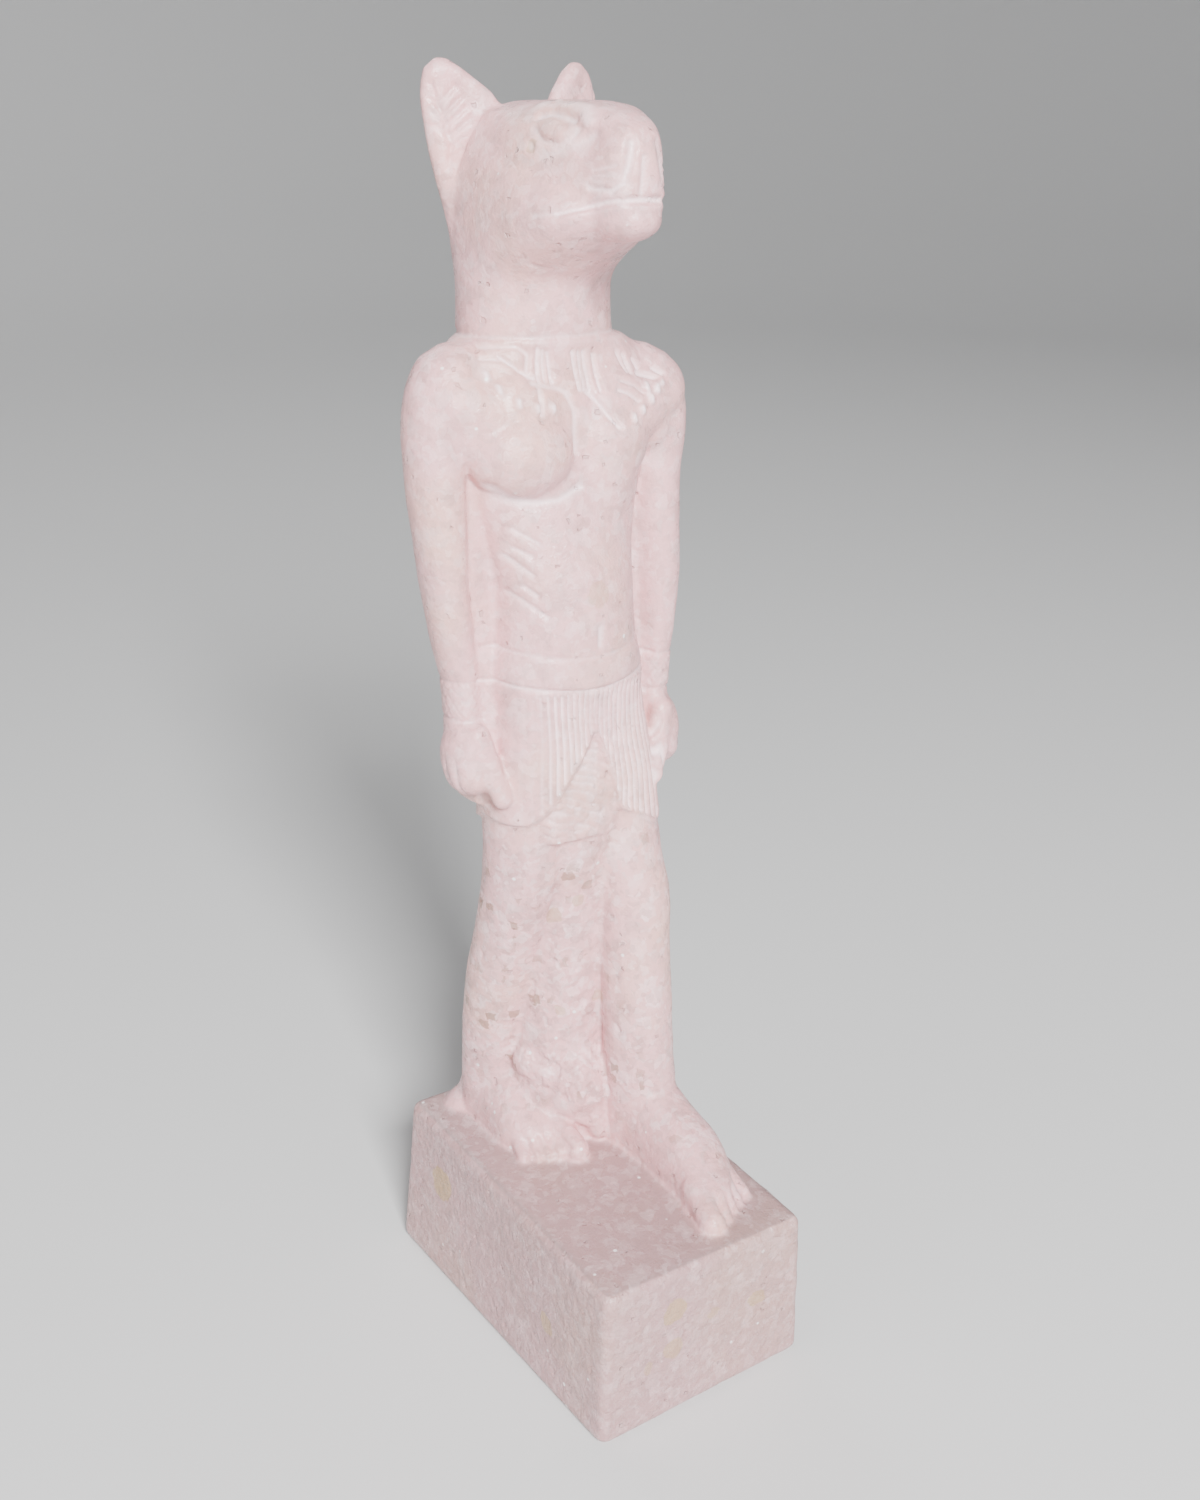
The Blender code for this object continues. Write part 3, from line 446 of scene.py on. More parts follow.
# The back of the closed hand, and from it the knuckles, the thumb's root and its tip.
RIGHT_HAND = Vector((-17.7, 11.6, 103.4))
LEFT_HAND = Vector((19.0, 11.0, 101.8))
KNUCKLES = Vector((0.3, -0.6, -2.5))
THUMB_ROOT = Vector((0.8, -2.7, 4.0))
THUMB_TIP = Vector((3.7, -5.2, -6.4))


def add_arms(stone):
    loft(stone, RIGHT_ARM, rings=36)
    loft(stone, LEFT_ARM, rings=36)
    for hand, inward in ((RIGHT_HAND, Vector((1, 1, 1))), (LEFT_HAND, Vector((-1, 1, 1)))):
        ball(stone, hand, (3.7, 5.0, 6.4))
        ball(stone, hand + inward * KNUCKLES, (3.5, 4.8, 3.8))
        rod(stone, hand + inward * THUMB_ROOT, hand + inward * THUMB_TIP, 2.1, 1.7)


# The big toe and the little toe of each foot, and how the other toes are spread between them.
RIGHT_TOE_TIPS = ((-2.9, 1.3, 29.6), (-11.2, 5.2, 29.0))
RIGHT_TOE_ROOTS = ((-3.2, 6.4, 31.2), (-10.4, 9.4, 30.2))
LEFT_TOE_TIPS = ((4.9, -27.6, 29.2), (14.4, -23.8, 29.0))
LEFT_TOE_ROOTS = ((6.6, -20.4, 30.9), (14.0, -18.8, 31.2))
TOE_SHARES = (0.0, 0.36, 0.58, 0.79, 1.0)
TOE_RADII = (2.3, 1.45, 1.35, 1.25, 1.2)


def add_toes(stone, tips, roots):
    """Five toes side by side, from the big toe to the little one."""
    for share, radius in zip(TOE_SHARES, TOE_RADII):
        tip = Vector(tips[0]).lerp(Vector(tips[1]), share)
        root = Vector(roots[0]).lerp(Vector(roots[1]), share)
        rod(stone, root, tip, radius * 1.05, radius)


def add_legs(stone):
    loft(stone, RIGHT_LEG, rings=30)
    loft(stone, LEFT_LEG, rings=30)
    loft(stone, LEG_FILL, rings=20)
    for mass in (FOOT_LUMP, HEEL_FILLET):
        ball(stone, mass["middle"], mass["radii"])
    for lump in (LUMP_TIP, INSTEP_LUMP):
        rod(stone, *lump)
    loft(stone, RIGHT_FOOT, rings=16, along="Y")
    loft(stone, LEFT_FOOT, rings=16, along="Y")
    add_toes(stone, RIGHT_TOE_TIPS, RIGHT_TOE_ROOTS)
    add_toes(stone, LEFT_TOE_TIPS, LEFT_TOE_ROOTS)


def fused(stone, grain):
    """One skin round everything in the stone, as a mesh of even quads."""
    mesh = bpy.data.meshes.new("rough_stone")
    stone.to_mesh(mesh)
    stone.free()
    rough = bpy.data.objects.new("rough_stone", mesh)
    bpy.context.scene.collection.objects.link(rough)
    remesh = rough.modifiers.new("fuse", "REMESH")
    remesh.mode = "VOXEL"
    remesh.voxel_size = grain
    graph = bpy.context.evaluated_depsgraph_get()
    skin = bpy.data.meshes.new_from_object(rough.evaluated_get(graph))
    bpy.data.objects.remove(rough)
    bpy.data.meshes.remove(mesh)
    return skin


def drop_hollows(mesh):
    """Keeps the outer skin and drops the walls of the hollows that were closed in between the masses."""
    skin = bmesh.new()
    skin.from_mesh(mesh)
    unseen = set(skin.verts)
    shells = []
    while unseen:
        edge_of_shell = [unseen.pop()]
        shell = []
        while edge_of_shell:
            corner = edge_of_shell.pop()
            shell.append(corner)
            nearby = {edge.other_vert(corner) for edge in corner.link_edges} & unseen
            unseen -= nearby
            edge_of_shell.extend(nearby)
        shells.append(shell)
    shells.sort(key=len)
    for shell in shells[:-1]:
        bmesh.ops.delete(skin, geom=shell, context="VERTS")
    skin.to_mesh(mesh)
    skin.free()


def points_of(mesh):
    points = np.empty(len(mesh.vertices) * 3, np.float32)
    mesh.vertices.foreach_get("co", points)
    return points.reshape(-1, 3).astype(float)


def normals_of(mesh):
    normals = np.empty(len(mesh.vertices) * 3, np.float32)
    mesh.vertices.foreach_get("normal", normals)
    return normals.reshape(-1, 3).astype(float)


def set_points(mesh, points):
    mesh.vertices.foreach_set("co", points.astype(np.float32).ravel())
    mesh.update()


def relax(mesh, passes, share_of):
    """Rounds the stone off and keeps its bulk: a point goes towards its neighbours and half back again."""
    points = points_of(mesh)
    ends = np.empty(len(mesh.edges) * 2, np.int32)
    mesh.edges.foreach_get("vertices", ends)
    left, right = ends.reshape(-1, 2).T
    count = np.bincount(ends, minlength=len(points))[:, None]
    share = share_of(points)[:, None]
    for number in range(2 * passes):
        total = np.zeros_like(points)
        for axis in range(3):
            total[:, axis] += np.bincount(left, points[right, axis], len(points))
            total[:, axis] += np.bincount(right, points[left, axis], len(points))
        pull = 0.6 if number % 2 == 0 else -0.35
        points += pull * share * (total / count - points)
    set_points(mesh, points)


def rise(value, low, high):
    """0 below low, 1 above high, and a smooth step between them."""
    t = np.clip((value - low) / (high - low), 0, 1)
    return t * t * (3 - 2 * t)


def within(value, low, high, edge):
    """1 between low and high, 0 outside, with steps as wide as edge."""
    half = edge / 2
    return rise(value, low - half, low + half) * (1 - rise(value, high - half, high + half))


def rounding_share(points):
    """How much each region is rounded: most at the neck and head, least at the ears, the kilt with its hems, and
    the feet and toes.
    """
    x, y, z = points.T
    share = np.full(len(points), 0.8)
    share = np.where(z > 172, 1.0, share)
    share *= 1 - 0.75 * rise(z, 198, 201)
    share *= 1 - 0.8 * within(z, 86, 112, 4) * (1 - rise(np.abs(x), 13.5, 15))
    share *= 1 - 0.6 * within(z, 28.8, 36, 2)
    share = np.where(z < 28.6, 0.7, share)
    return share


def offset_from(levels, points):
    """How far each point stands out from a vertical loft, about, and its turn round it from the front."""
    x, y, z = points.T
    _, side, mid, half, fore, aft, square = smooth_levels(levels, z).T
    reach = np.where(y < mid, fore, aft)
    size = (np.abs((x - side) / half) ** square + np.abs((y - mid) / reach) ** square) ** (1 / square)
    return (size - 1) * np.minimum(half, reach), np.arctan2(x - side, mid - y)


def near_skin(offset, slack=1.3):
    return 1 - rise(np.abs(offset), slack, slack + 0.8)


# Noise, for stone that is rough or worn


def scatter(cells, seed):
    """A number from 0 to 1 for each whole-number cell, always the same one."""
    x, y, z = (cells.astype(np.int64) & 0xFFFF).T
    mixed = (x * 73856093) ^ (y * 19349663) ^ (z * 83492791) ^ (seed * 2654435761)
    mixed = (mixed ^ (mixed >> 13)) * 1274126177 & 0xFFFFFFFF
    return ((mixed ^ (mixed >> 16)) & 0xFFFF) / 65535.0


def lumps(points, size, seed):
    """Smooth bumps of the size given, from -1 to 1."""
    place = points / size
    cell = np.floor(place)
    inside = place - cell
    ease = inside * inside * (3 - 2 * inside)
    total = np.zeros(len(points))
    for step in np.ndindex(2, 2, 2):
        weight = np.prod(np.where(np.array(step) == 1, ease, 1 - ease), axis=1)
        total += weight * scatter(cell + step, seed)
    return total * 2 - 1


def pits(points, spacing, radius, share, seed):
    """Angular pits in some of the cells of a grid: 1 at the floor of a pit, 0 outside."""
    cell = np.floor(points / spacing)
    deepest = np.zeros(len(points))
    for step in np.ndindex(3, 3, 3):
        near = cell + np.array(step) - 1
        jitter = np.stack([scatter(near, seed + k) for k in (1, 2, 3)], axis=1)
        away = points - (near + jitter) * spacing
        turn = scatter(near, seed + 4) * 2 * pi
        tall = scatter(near, seed + 5)
        along = away[:, 2] * np.cos(turn) + (away[:, 0] + away[:, 1]) * np.sin(turn)
        across = -away[:, 2] * np.sin(turn) + (away[:, 0] + away[:, 1]) * np.cos(turn)
        deep = away[:, 0] - away[:, 1]
        reach = radius * (0.55 + 0.9 * tall)
        spans = np.abs(np.stack((along / reach, across / (0.55 * reach), deep / radius)))
        size = (spans**3).sum(axis=0) ** (1 / 3)
        chosen = scatter(near, seed) < share
        deepest = np.maximum(deepest, chosen * (1 - rise(size, 0.7, 1.1)))
    return deepest


def chipped(points, size, seed):
    """Flat flakes of different heights with sharp edges, as where stone was broken away, from -1 to 0."""
    bent = points + 0.35 * size * np.stack([lumps(points, size, seed + k) for k in (1, 2, 3)], axis=1)
    cell = np.floor(bent / size)
    return -scatter(cell, seed) ** 2


# Strokes of the chisel


def stroke(points, line, width):
    """1 on a line through the places given, falling off to the sides over the width."""
    mark = np.zeros(len(points))
    for start, end in zip(line, line[1:]):
        start, end = np.array(start, float), np.array(end, float)
        margin = 3 * width
        low, high = np.minimum(start, end) - margin, np.maximum(start, end) + margin
        near = np.flatnonzero(np.all((points > low) & (points < high), axis=1))
        run = end - start
        t = np.clip((points[near] - start) @ run / (run @ run), 0, 1)
        away = np.linalg.norm(points[near] - start - t[:, None] * run, axis=1)
        mark[near] = np.maximum(mark[near], np.exp(-((away / width) ** 2)))
    return mark


def from_side(points, line, width):
    """A stroke seen from the side: its places are Y and Z."""
    return stroke(points * (0, 1, 1), [(0, y, z) for y, z in line], width)


def from_front(points, line, width):
    """A stroke seen from the front: its places are X and Z."""
    return stroke(points * (1, 0, 1), [(x, 0, z) for x, z in line], width)


# The face's strokes, each with its width and its depth, or its height where that is negative. Those on the sides
# are cut into both sides of the face.
SIDE_STROKES = (
    (((5.2, 198.1), (3.1, 198.6), (0.9, 198.3), (-1.6, 197.6)), 0.5, 0.32),
    (((5.0, 196.6), (2.7, 194.8), (0.0, 194.4), (-1.6, 195.1), (-2.5, 196.6)), 0.55, 0.22),
    (((2.7, 193.0), (0.3, 193.4), (-2.4, 194.6), (-4.4, 195.8)), 1.0, 0.2),
    (((6.9, 199.8), (3.1, 200.2), (-1.9, 199.2), (-3.6, 197.4)), 1.0, -0.25),
    (((-9.6, 189.7), (-8.2, 188.7), (-4.6, 189.0)), 0.5, 0.35),
    (((-5.5, 191.3), (-8.9, 192.0)), 0.32, 0.25),
    (((-5.0, 190.4), (-9.1, 190.9)), 0.32, 0.25),
    (((-4.3, 189.6), (-9.3, 190.1)), 0.32, 0.22),
    (((-2.0, 185.7), (-4.5, 186.6), (-7.2, 187.2), (-9.1, 187.5)), 0.45, 0.38),
    (((1.2, 185.2), (-2.0, 185.7)), 0.45, 0.2),
    (((-3.6, 185.3), (-4.5, 185.7), (-7.2, 186.3), (-9.1, 186.6)), 0.5, -0.12),
    (((5.2, 178.3), (4.0, 177.6)), 0.35, 0.15),
    (((4.8, 194.4), (4.6, 194.2)), 0.6, 0.25),
)
FRONT_STROKES = (
    (((-2.1, 195.0), (-2.7, 192.1), (-3.3, 190.2)), 0.6, 0.32),
    (((2.1, 195.0), (2.7, 192.1), (3.3, 190.2)), 0.6, 0.2),
    (((-0.5, 193.2), (-0.6, 190.8), (-0.8, 188.4)), 0.45, 0.3),
    (((-2.8, 187.5), (0, 187.6), (2.8, 187.5)), 0.45, 0.4),
    (((-2.8, 186.6), (0, 186.7), (2.8, 186.6)), 0.5, -0.12),
)
FACE_CUT = 1.6
FAR_SHARE = 0.5
EYE = (7.2, 1.2, 196.2)
HOLLOW = (5.6, -4.8, 195.0)
MUZZLE_FLAT = (4.6, -8.8, 193.0)


def face_carving(points, normals):
    """The strokes of the lids, brows, nose, whisker pads and mouth."""
    x, y, z = points.T
    head = (z > 176) * (y < 10)
    sideways = rise(np.abs(normals[:, 0]), 0.15, 0.45) * head * np.where(x > 0, FAR_SHARE, 1)
    ahead = rise(-normals[:, 1], 0.35, 0.7) * head
    cut, raised = np.zeros((2, len(points)))
    for strokes, seen, share in ((SIDE_STROKES, from_side, sideways), (FRONT_STROKES, from_front, ahead)):
        for line, width, depth in strokes:
            mark = seen(points, line, width) * share
            cut = np.maximum(cut, FACE_CUT * depth * mark)
            raised = np.maximum(raised, -FACE_CUT * depth * mark)
    return raised - cut


def face_forms(points, normals):
    """The eyeballs, the hollow before each eye and the flatter far side of the muzzle."""
    head = (points[:, 2] > 176) * (points[:, 1] < 10)
    depth = np.zeros(len(points))
    for side in (-1, 1):
        away = points - (side * EYE[0], EYE[1], EYE[2])
        size = np.sqrt((away[:, 0] / 3) ** 2 + (away[:, 1] / 3.2) ** 2 + (away[:, 2] / 1.7) ** 2)
        depth += 0.4 * (1 - rise(size, 0.2, 1.1)) * head
        away = points - (side * HOLLOW[0], HOLLOW[1], HOLLOW[2])
        size = np.sqrt((away[:, 0] / 3.4) ** 2 + (away[:, 1] / 4.4) ** 2 + (away[:, 2] / 3.2) ** 2)
        depth -= 0.7 * (1 - rise(size, 0.0, 1.1)) * head
    away = points - MUZZLE_FLAT
    size = np.sqrt((away[:, 0] / 3.6) ** 2 + (away[:, 1] / 4.5) ** 2 + (away[:, 2] / 5.0) ** 2)
    return depth - 0.5 * (1 - rise(size, 0.0, 1.1)) * head


# Strokes in an ear's hollow, in its own plane: across, outwards from its middle, and height.
EAR_STROKES = (
    ((4.6, 202.4), (3.8, 199.9), (2.7, 197.0), (2.1, 194.2), (2.4, 191.0)),
    ((3.2, 200.0), (1.2, 202.2)),
    ((2.9, 198.4), (0.2, 200.9)),
    ((2.5, 196.9), (-0.6, 199.5)),
    ((2.2, 195.4), (-1.2, 198.0)),
    ((2.1, 193.8), (-1.4, 196.4)),
    ((2.2, 192.3), (-0.8, 194.4)),
    ((3.6, 199.2), (5.0, 200.6)),
    ((3.1, 197.4), (4.8, 198.8)),
    ((2.6, 195.8), (4.2, 196.9)),
)


def ear_carving(points, normals):
    """The hollow in the front of each ear, with its strokes like a leaf's veins."""
    depth = np.zeros(len(points))
    for ear in (RIGHT_EAR, LEFT_EAR):
        back = np.array(ear_place(ear).inverted())
        local = points @ back[:3, :3].T + back[:3, 3]
        level = smooth_levels(ear_levels(ear["lean"]), local[:, 2])
        leaf = np.abs(local[:, 0] - level[:, 1]) / np.maximum(level[:, 3] - 0.9, 0.3)
        ahead = rise(-normals[:, 1], 0.3, 0.6) * near_skin(np.abs(local[:, 1]), 3.0) * (points[:, 2] > 188)
        inside = (1 - rise(leaf, 0.1, 1.0)) * within(local[:, 2], 191, 203.6, 4)
        depth -= 0.6 * inside * ahead
        flat = local * (1, 0, 1)
        for line in EAR_STROKES:
            depth -= 0.3 * stroke(flat, [(u, 0, h) for u, h in line], 0.4) * ahead
    return depth


# The collar's strokes on the chest as seen from the front, each with its width and depth.
COLLAR_STROKES = (
    (((-13.9, 166.8), (-9.0, 166.8), (-7.8, 165.6), (-8.5, 162.6)), 0.4, 0.3),
    (((-14.7, 165.2), (-11.9, 165.0)), 0.3, 0.25),
    (((-12.0, 165.5), (-8.5, 162.8), (-7.3, 162.3)), 0.35, 0.35),
    (((-6.2, 166.5), (-6.7, 161.9)), 0.35, 0.4),
    (((-5.5, 166.2), (-5.7, 161.9)), 0.3, 0.35),
    (((-4.8, 165.8), (-4.4, 161.5)), 0.35, 0.4),
    (((-0.6, 165.7), (0.4, 160.1)), 0.35, 0.45),
    (((0.5, 165.7), (1.3, 160.1)), 0.3, 0.4),
    (((1.5, 165.6), (2.2, 160.0)), 0.35, 0.45),
    (((3.4, 165.1), (3.8, 159.7)), 0.3, 0.4),
    (((-7.2, 161.0), (-7.5, 157.2)), 0.4, 0.35),
    (((-8.2, 161.8), (-3.6, 160.7), (-2.2, 160.0), (-0.9, 157.3), (-1.0, 154.4), (-1.0, 151.0)), 0.5, 0.3),
    (((1.2, 160.1), (2.2, 159.3), (5.8, 154.5)), 0.45, 0.4),
    (((8.4, 165.0), (9.6, 162.2)), 0.35, 0.35),
    (((9.7, 164.6), (10.4, 162.0)), 0.35, 0.4),
    (((11.7, 163.8), (12.5, 162.3)), 0.35, 0.4),
    (((11.8, 161.8), (15.5, 160.7)), 0.4, 0.4),
    (((15.0, 162.2), (16.3, 161.3)), 0.35, 0.35),
    (((6.8, 159.8), (8.6, 159.2), (10.6, 157.8)), 0.4, 0.35),
    (((7.4, 161.2), (10.2, 160.2), (12.0, 158.9)), 0.3, 0.3),
)
COLLAR_DROPS = (
    (-14.4, 162.8),
    (-13.2, 160.9),
    (-11.0, 159.1),
    (-8.1, 158.2),
    (-5.4, 158.0),
    (8.9, 155.5),
    (10.9, 156.6),
    (13.0, 157.9),
    (14.5, 159.3),
    (12.6, 159.6),
    (15.6, 160.3),
)
COLLAR_CUT = 1.5
DROP_HEIGHT = 0.6
NECK_LINE = 168.0


def collar_carving(points, normals):
    """The broad collar: lines under the neck, upright and slanting strokes, and a row of raised drops."""
    x, y, z = points.T
    ahead = rise(-normals[:, 1], -0.1, 0.25) * (z > 150)
    depth = np.zeros(len(points))
    for line, width, cut in COLLAR_STROKES:
        depth = np.minimum(depth, -COLLAR_CUT * cut * from_front(points, line, width))
    for across, up in COLLAR_DROPS:
        depth += DROP_HEIGHT * from_front(points, ((across, up + 0.3), (across, up - 0.3)), 0.55)
    neck = (np.abs(x + 1) < 15) * (np.abs(y - 16.5) < 13)
    step = np.exp(-(((z - NECK_LINE) / 0.4) ** 2)) - 0.5 * np.exp(-(((z - NECK_LINE + 1.0) / 0.45) ** 2))
    return depth * ahead - 0.3 * step * neck * (z > 160)


# Ribs cut on the right side, the navel and the crease under the breast, as seen from the front.
BODY_STROKES = (
    (((-11.4, 140.2), (-8.0, 138.0)), 0.4, 0.3),
    (((-11.1, 137.2), (-8.9, 136.0)), 0.4, 0.3),
    (((-12.1, 136.0), (-9.0, 133.1)), 0.4, 0.3),
    (((-10.1, 131.4), (-8.7, 130.1)), 0.35, 0.3),
    (((-11.6, 130.2), (-7.6, 126.8)), 0.4, 0.3),
    (((0.7, 124.4), (0.7, 121.6)), 0.6, 0.35),
    (((-15.4, 147.0), (-12.1, 144.7), (-8.3, 144.0), (-4.3, 144.3), (-0.6, 145.9)), 0.7, 0.4),
)


BODY_CUT = 1.35


def body_carving(points, normals):
    """Ribs, navel and the crease under the breast."""
    ahead = rise(-normals[:, 1], 0.0, 0.3) * (points[:, 2] > 118)
    depth = np.zeros(len(points))
    for line, width, cut in BODY_STROKES:
        depth -= BODY_CUT * cut * from_front(points, line, width)
    return depth * ahead


PLEAT_PITCH = 1.25
PLEAT_DEPTH = 0.8
KILT_RADIUS = 12.0
TAB_STROKE_PITCH = 1.5
TAB_STROKE_DEPTH = 0.22


def kilt_carving(points, normals):
    """The upright pleats of both panels, the line of the hem and the wavy strokes across the tab."""
    x, y, z = points.T
    offset, turn = offset_from(KILT, points)
    ahead = rise(-normals[:, 1], -0.1, 0.2)
    above = z - hem(x, y)
    along = turn * KILT_RADIUS + 0.25 * lumps(points, 7.0, 5)
    waves = (0.5 + 0.5 * np.cos(2 * pi * along / PLEAT_PITCH)) ** 1.3
    worn = rise(along, -15.5, -14.0) * (0.15 + 0.85 * rise(along, -13.0, -8.0))
    worn *= 1 - rise(along, 15.0, 17.5)
    worn *= 0.85 + 0.3 * lumps(points, 5.0, 6)
    panel = near_skin(offset, 1.4) * rise(above, 0.5, 1.2) * (1 - rise(z, 113.8, 114.6))
    slanting = z + 0.4 * x + 0.5 * lumps(points, 2.5, 7)
    crosswise = (0.5 + 0.5 * np.cos(2 * pi * slanting / TAB_STROKE_PITCH)) ** 2
    tab = within(above, -19.0, -0.9, 0.6) * within(z, 89.2, 108, 0.6) * (y < 3.8) * (np.abs(x) < 9)
    hem_line = np.exp(-((above / 0.4) ** 2)) * near_skin(offset, 2.0) * (y < 20)
    scraped = TAB_STROKE_DEPTH * crosswise * (1 - rise(x, 1, 5))
    scraped += 0.15 * pits(points, 2.2, 0.6, 0.5, 75) - 0.3 * chipped(points, 1.5, 71)
    depth = -PLEAT_DEPTH * waves * panel * worn - scraped * tab
    return depth * ahead - 0.25 * hem_line


BELT_TALL = 5.3
BELT_DIP = 1.7


def belt_carving(points, normals):
    """The belt, marked by a line along each of its edges."""
    x, y, z = points.T
    offset, turn = offset_from(TORSO, points)
    up = z + BELT_DIP * np.cos(turn / 2) ** 6 - BELT_HEIGHT
    torso = near_skin(offset, 1.8)
    lower = np.exp(-(((up + BELT_TALL / 2) / 0.38) ** 2))
    upper = np.exp(-(((up - BELT_TALL / 2) / 0.42) ** 2)) * (0.8 + 0.5 * lumps(points, 4.0, 8))
    return (-0.5 * lower - 0.35 * upper + 0.1 * within(up, -BELT_TALL / 2, BELT_TALL / 2, 0.8)) * torso


def wrist_carving(points, normals):
    """A cross-hatched band on each wrist, and the lines between the fingers."""
    x, y, z = points.T
    depth = np.zeros(len(points))
    for arm, low, high, near in ((RIGHT_ARM, 109.8, 116.0, x < -14.8), (LEFT_ARM, 109.2, 115.4, x > 15.4)):
        offset, turn = offset_from(arm, points)
        band = within(z, low, high, 0.6) * near_skin(offset, 0.9) * near
        edge = np.exp(-(((z - low) / 0.35) ** 2)) + np.exp(-(((z - high) / 0.35) ** 2))
        hatch = np.maximum(np.cos((turn * 4 + z) * 2.2), np.cos((turn * 4 - z) * 2.2)) ** 6
        depth += 0.15 * band - 0.14 * band * hatch - 0.28 * edge * near_skin(offset, 0.9) * near
    for hand in (RIGHT_HAND, LEFT_HAND):
        on_hand = (1 - rise(z - hand.z, -1.0, 1.5)) * rise(z, hand.z - 9.5, hand.z - 8.0)
        on_hand *= np.abs(x - hand.x) < 6
        outside = rise(np.abs(normals[:, 0]), 0.15, 0.5)
        for gap in (-2.3, 0.1, 2.4):
            depth -= 0.28 * np.exp(-(((y - hand.y - gap) / 0.5) ** 2)) * on_hand * outside
    return depth


def rough_carving(points, normals):
    """The stone between the legs, left rough and pitted, and the rubble over the right foot."""
    x, y, z = points.T
    depth = np.zeros(len(points))
    left_edge = np.interp(z, (30, 42, 58, 71, 82, 89), (-12.0, -8.5, -8.0, -7.5, -6.0, -4.6))
    fill = rise(x, left_edge - 3.5, left_edge + 3.5) * (1 - rise(x, 4.6, 5.6)) * within(z, 38, 88.5, 2.5)
    fill *= rise(-normals[:, 1], 0.1, 0.4) * (y > -2)
    rubble = rise(x + 0.75 * (z - 38), -5.5, -3.5) * (1 - rise(x, 8, 10))
    rubble *= within(y, 2, 16, 3) * within(z, 30, 46, 2)
    legs = within(z, 33, 89, 3) * (y < 34)
    busy = np.flatnonzero(legs > 0)
    near = points[busy]
    flakes = chipped(near, 2.2, 61) * 0.35 + chipped(near, 1.1, 65) * 0.2
    pitted = pits(near, 2.6, 0.8, 0.5, 11)
    small = pits(near, 1.5, 0.45, 0.4, 21)
    swell = lumps(near, 4.5, 31) * 0.25
    depth[busy] += fill[busy] * (swell + 0.6 * flakes - 0.3 * pitted - 0.2 * small)
    depth[busy] += rubble[busy] * (lumps(near, 3.2, 33) * 0.5 + 1.2 * flakes + 0.2)
    plain = legs[busy] * (1 - fill[busy]) * (1 - rubble[busy])
    depth[busy] += plain * (0.06 * lumps(near, 3.2, 35) - 0.12 * small - 0.1 * pitted)
    return depth


def block_carving(points, normals):
    """Pits in the block's rough sides, knocks along its edges, and its smoother top."""
    x, y, z = points.T
    block = 1 - rise(z, 27.6, 28.6)
    side = block * (1 - rise(np.abs(normals[:, 2]), 0.5, 0.8)) * rise(z, 0.4, 2.0)
    edge = (1 - np.max(np.abs(normals), axis=1)) * block
    holes = pits(points, 2.8, 0.7, 0.4, 41)
    depth = side * (0.10 * lumps(points, 5.0, 42) + 0.05 * lumps(points, 1.5, 43) - 0.22 * holes)
    knocks = pits(points, 5.0, 2.0, 0.3, 44)
    depth -= edge * (0.5 * knocks + 0.5 * (0.5 + 0.5 * lumps(points, 2.2, 45)))
    return depth


def hand_work(points, normals):
    """The slight unevenness that files and sandpaper leave everywhere, and a few shallow pits."""
    x, y, z = points.T
    figure = rise(z, 28.5, 32)
    shallow = pits(points, 4.2, 0.8, 0.3, 51)
    return figure * (0.07 * lumps(points, 7.0, 52) + 0.035 * lumps(points, 2.4, 53) - 0.1 * shallow)


def toe_carving(points, normals):
    """The grooves between the toes, and a nail on each toe."""
    depth = np.zeros(len(points))
    for tips, roots in ((RIGHT_TOE_TIPS, RIGHT_TOE_ROOTS), (LEFT_TOE_TIPS, LEFT_TOE_ROOTS)):
        ends = [Vector(end) for end in (*tips, *roots)]
        for before, after in zip(TOE_SHARES, TOE_SHARES[1:]):
            share = before + (after - before) * (0.6 if before == 0 else 0.5)
            tip = ends[0].lerp(ends[1], share) + Vector((0, -1.2, 0))
            root = ends[2].lerp(ends[3], share)
            for lift in (0, 0.8, 1.6):
                line = (tip + Vector((0, 0, lift)), root + Vector((0, 0, lift * 0.8)))
                depth = np.minimum(depth, -0.5 * stroke(points, line, 0.55))
        for share, radius in zip(TOE_SHARES, TOE_RADII):
            tip = ends[0].lerp(ends[1], share) + Vector((0, -0.35 * radius, 0.85 * radius))
            nail = np.array((0.62, 0.75, 0.8)) * radius
            size = np.linalg.norm((points - np.array(tip)) / nail, axis=1)
            depth -= 0.08 * np.exp(-(((size - 1) / 0.2) ** 2))
    return depth


# How deep a cut must be to get the full paler paint, partly bruised stone and partly painted highlight.
BRUISE_AND_HIGHLIGHT_DEPTH = 0.55


def carve(mesh):
    """Cuts the carving along the surface's own normal, and marks the chiselled places, which are painted paler:
    partly the whiter bruised stone of the cuts, partly a painted highlight that lets the carving show in flat
    light.
    """
    forms = (rough_carving, block_carving, hand_work, toe_carving, ear_carving, face_forms)
    strokes = (
        kilt_carving,
        belt_carving,
        wrist_carving,
        body_carving,
        collar_carving,
        face_carving,
    )
    # The mark paints the chiselled places paler: partly whiter bruised stone, partly a painted highlight on the
    # carving.
    bruised_and_highlit = np.zeros(len(mesh.vertices))
    for cut in forms + strokes:
        points, normals = points_of(mesh), normals_of(mesh)
        depth = cut(points, normals)
        set_points(mesh, points + normals * depth[:, None])
        if cut in strokes:
            bruised_and_highlit = np.maximum(bruised_and_highlit, np.clip(np.abs(depth) / BRUISE_AND_HIGHLIGHT_DEPTH, 0, 1))
    mark = mesh.attributes.new("bruised_and_highlit", "FLOAT", "POINT")
    mark.data.foreach_set("value", bruised_and_highlit)


# The block's corners, as hand-cut: right or left, front or back, then X and Y at the top and at the bottom.
UNDERSIDE = -0.5
BASE_CORNERS = {
    ("right", "front"): ((-19.7, -32.7), (-20.5, -33.0)),
    ("right", "back"): ((-18.9, 32.9), (-21.8, 33.0)),
    ("left", "front"): ((19.5, -33.3), (21.2, -32.5)),
    ("left", "back"): ((21.8, 32.9), (22.2, 33.0)),
}


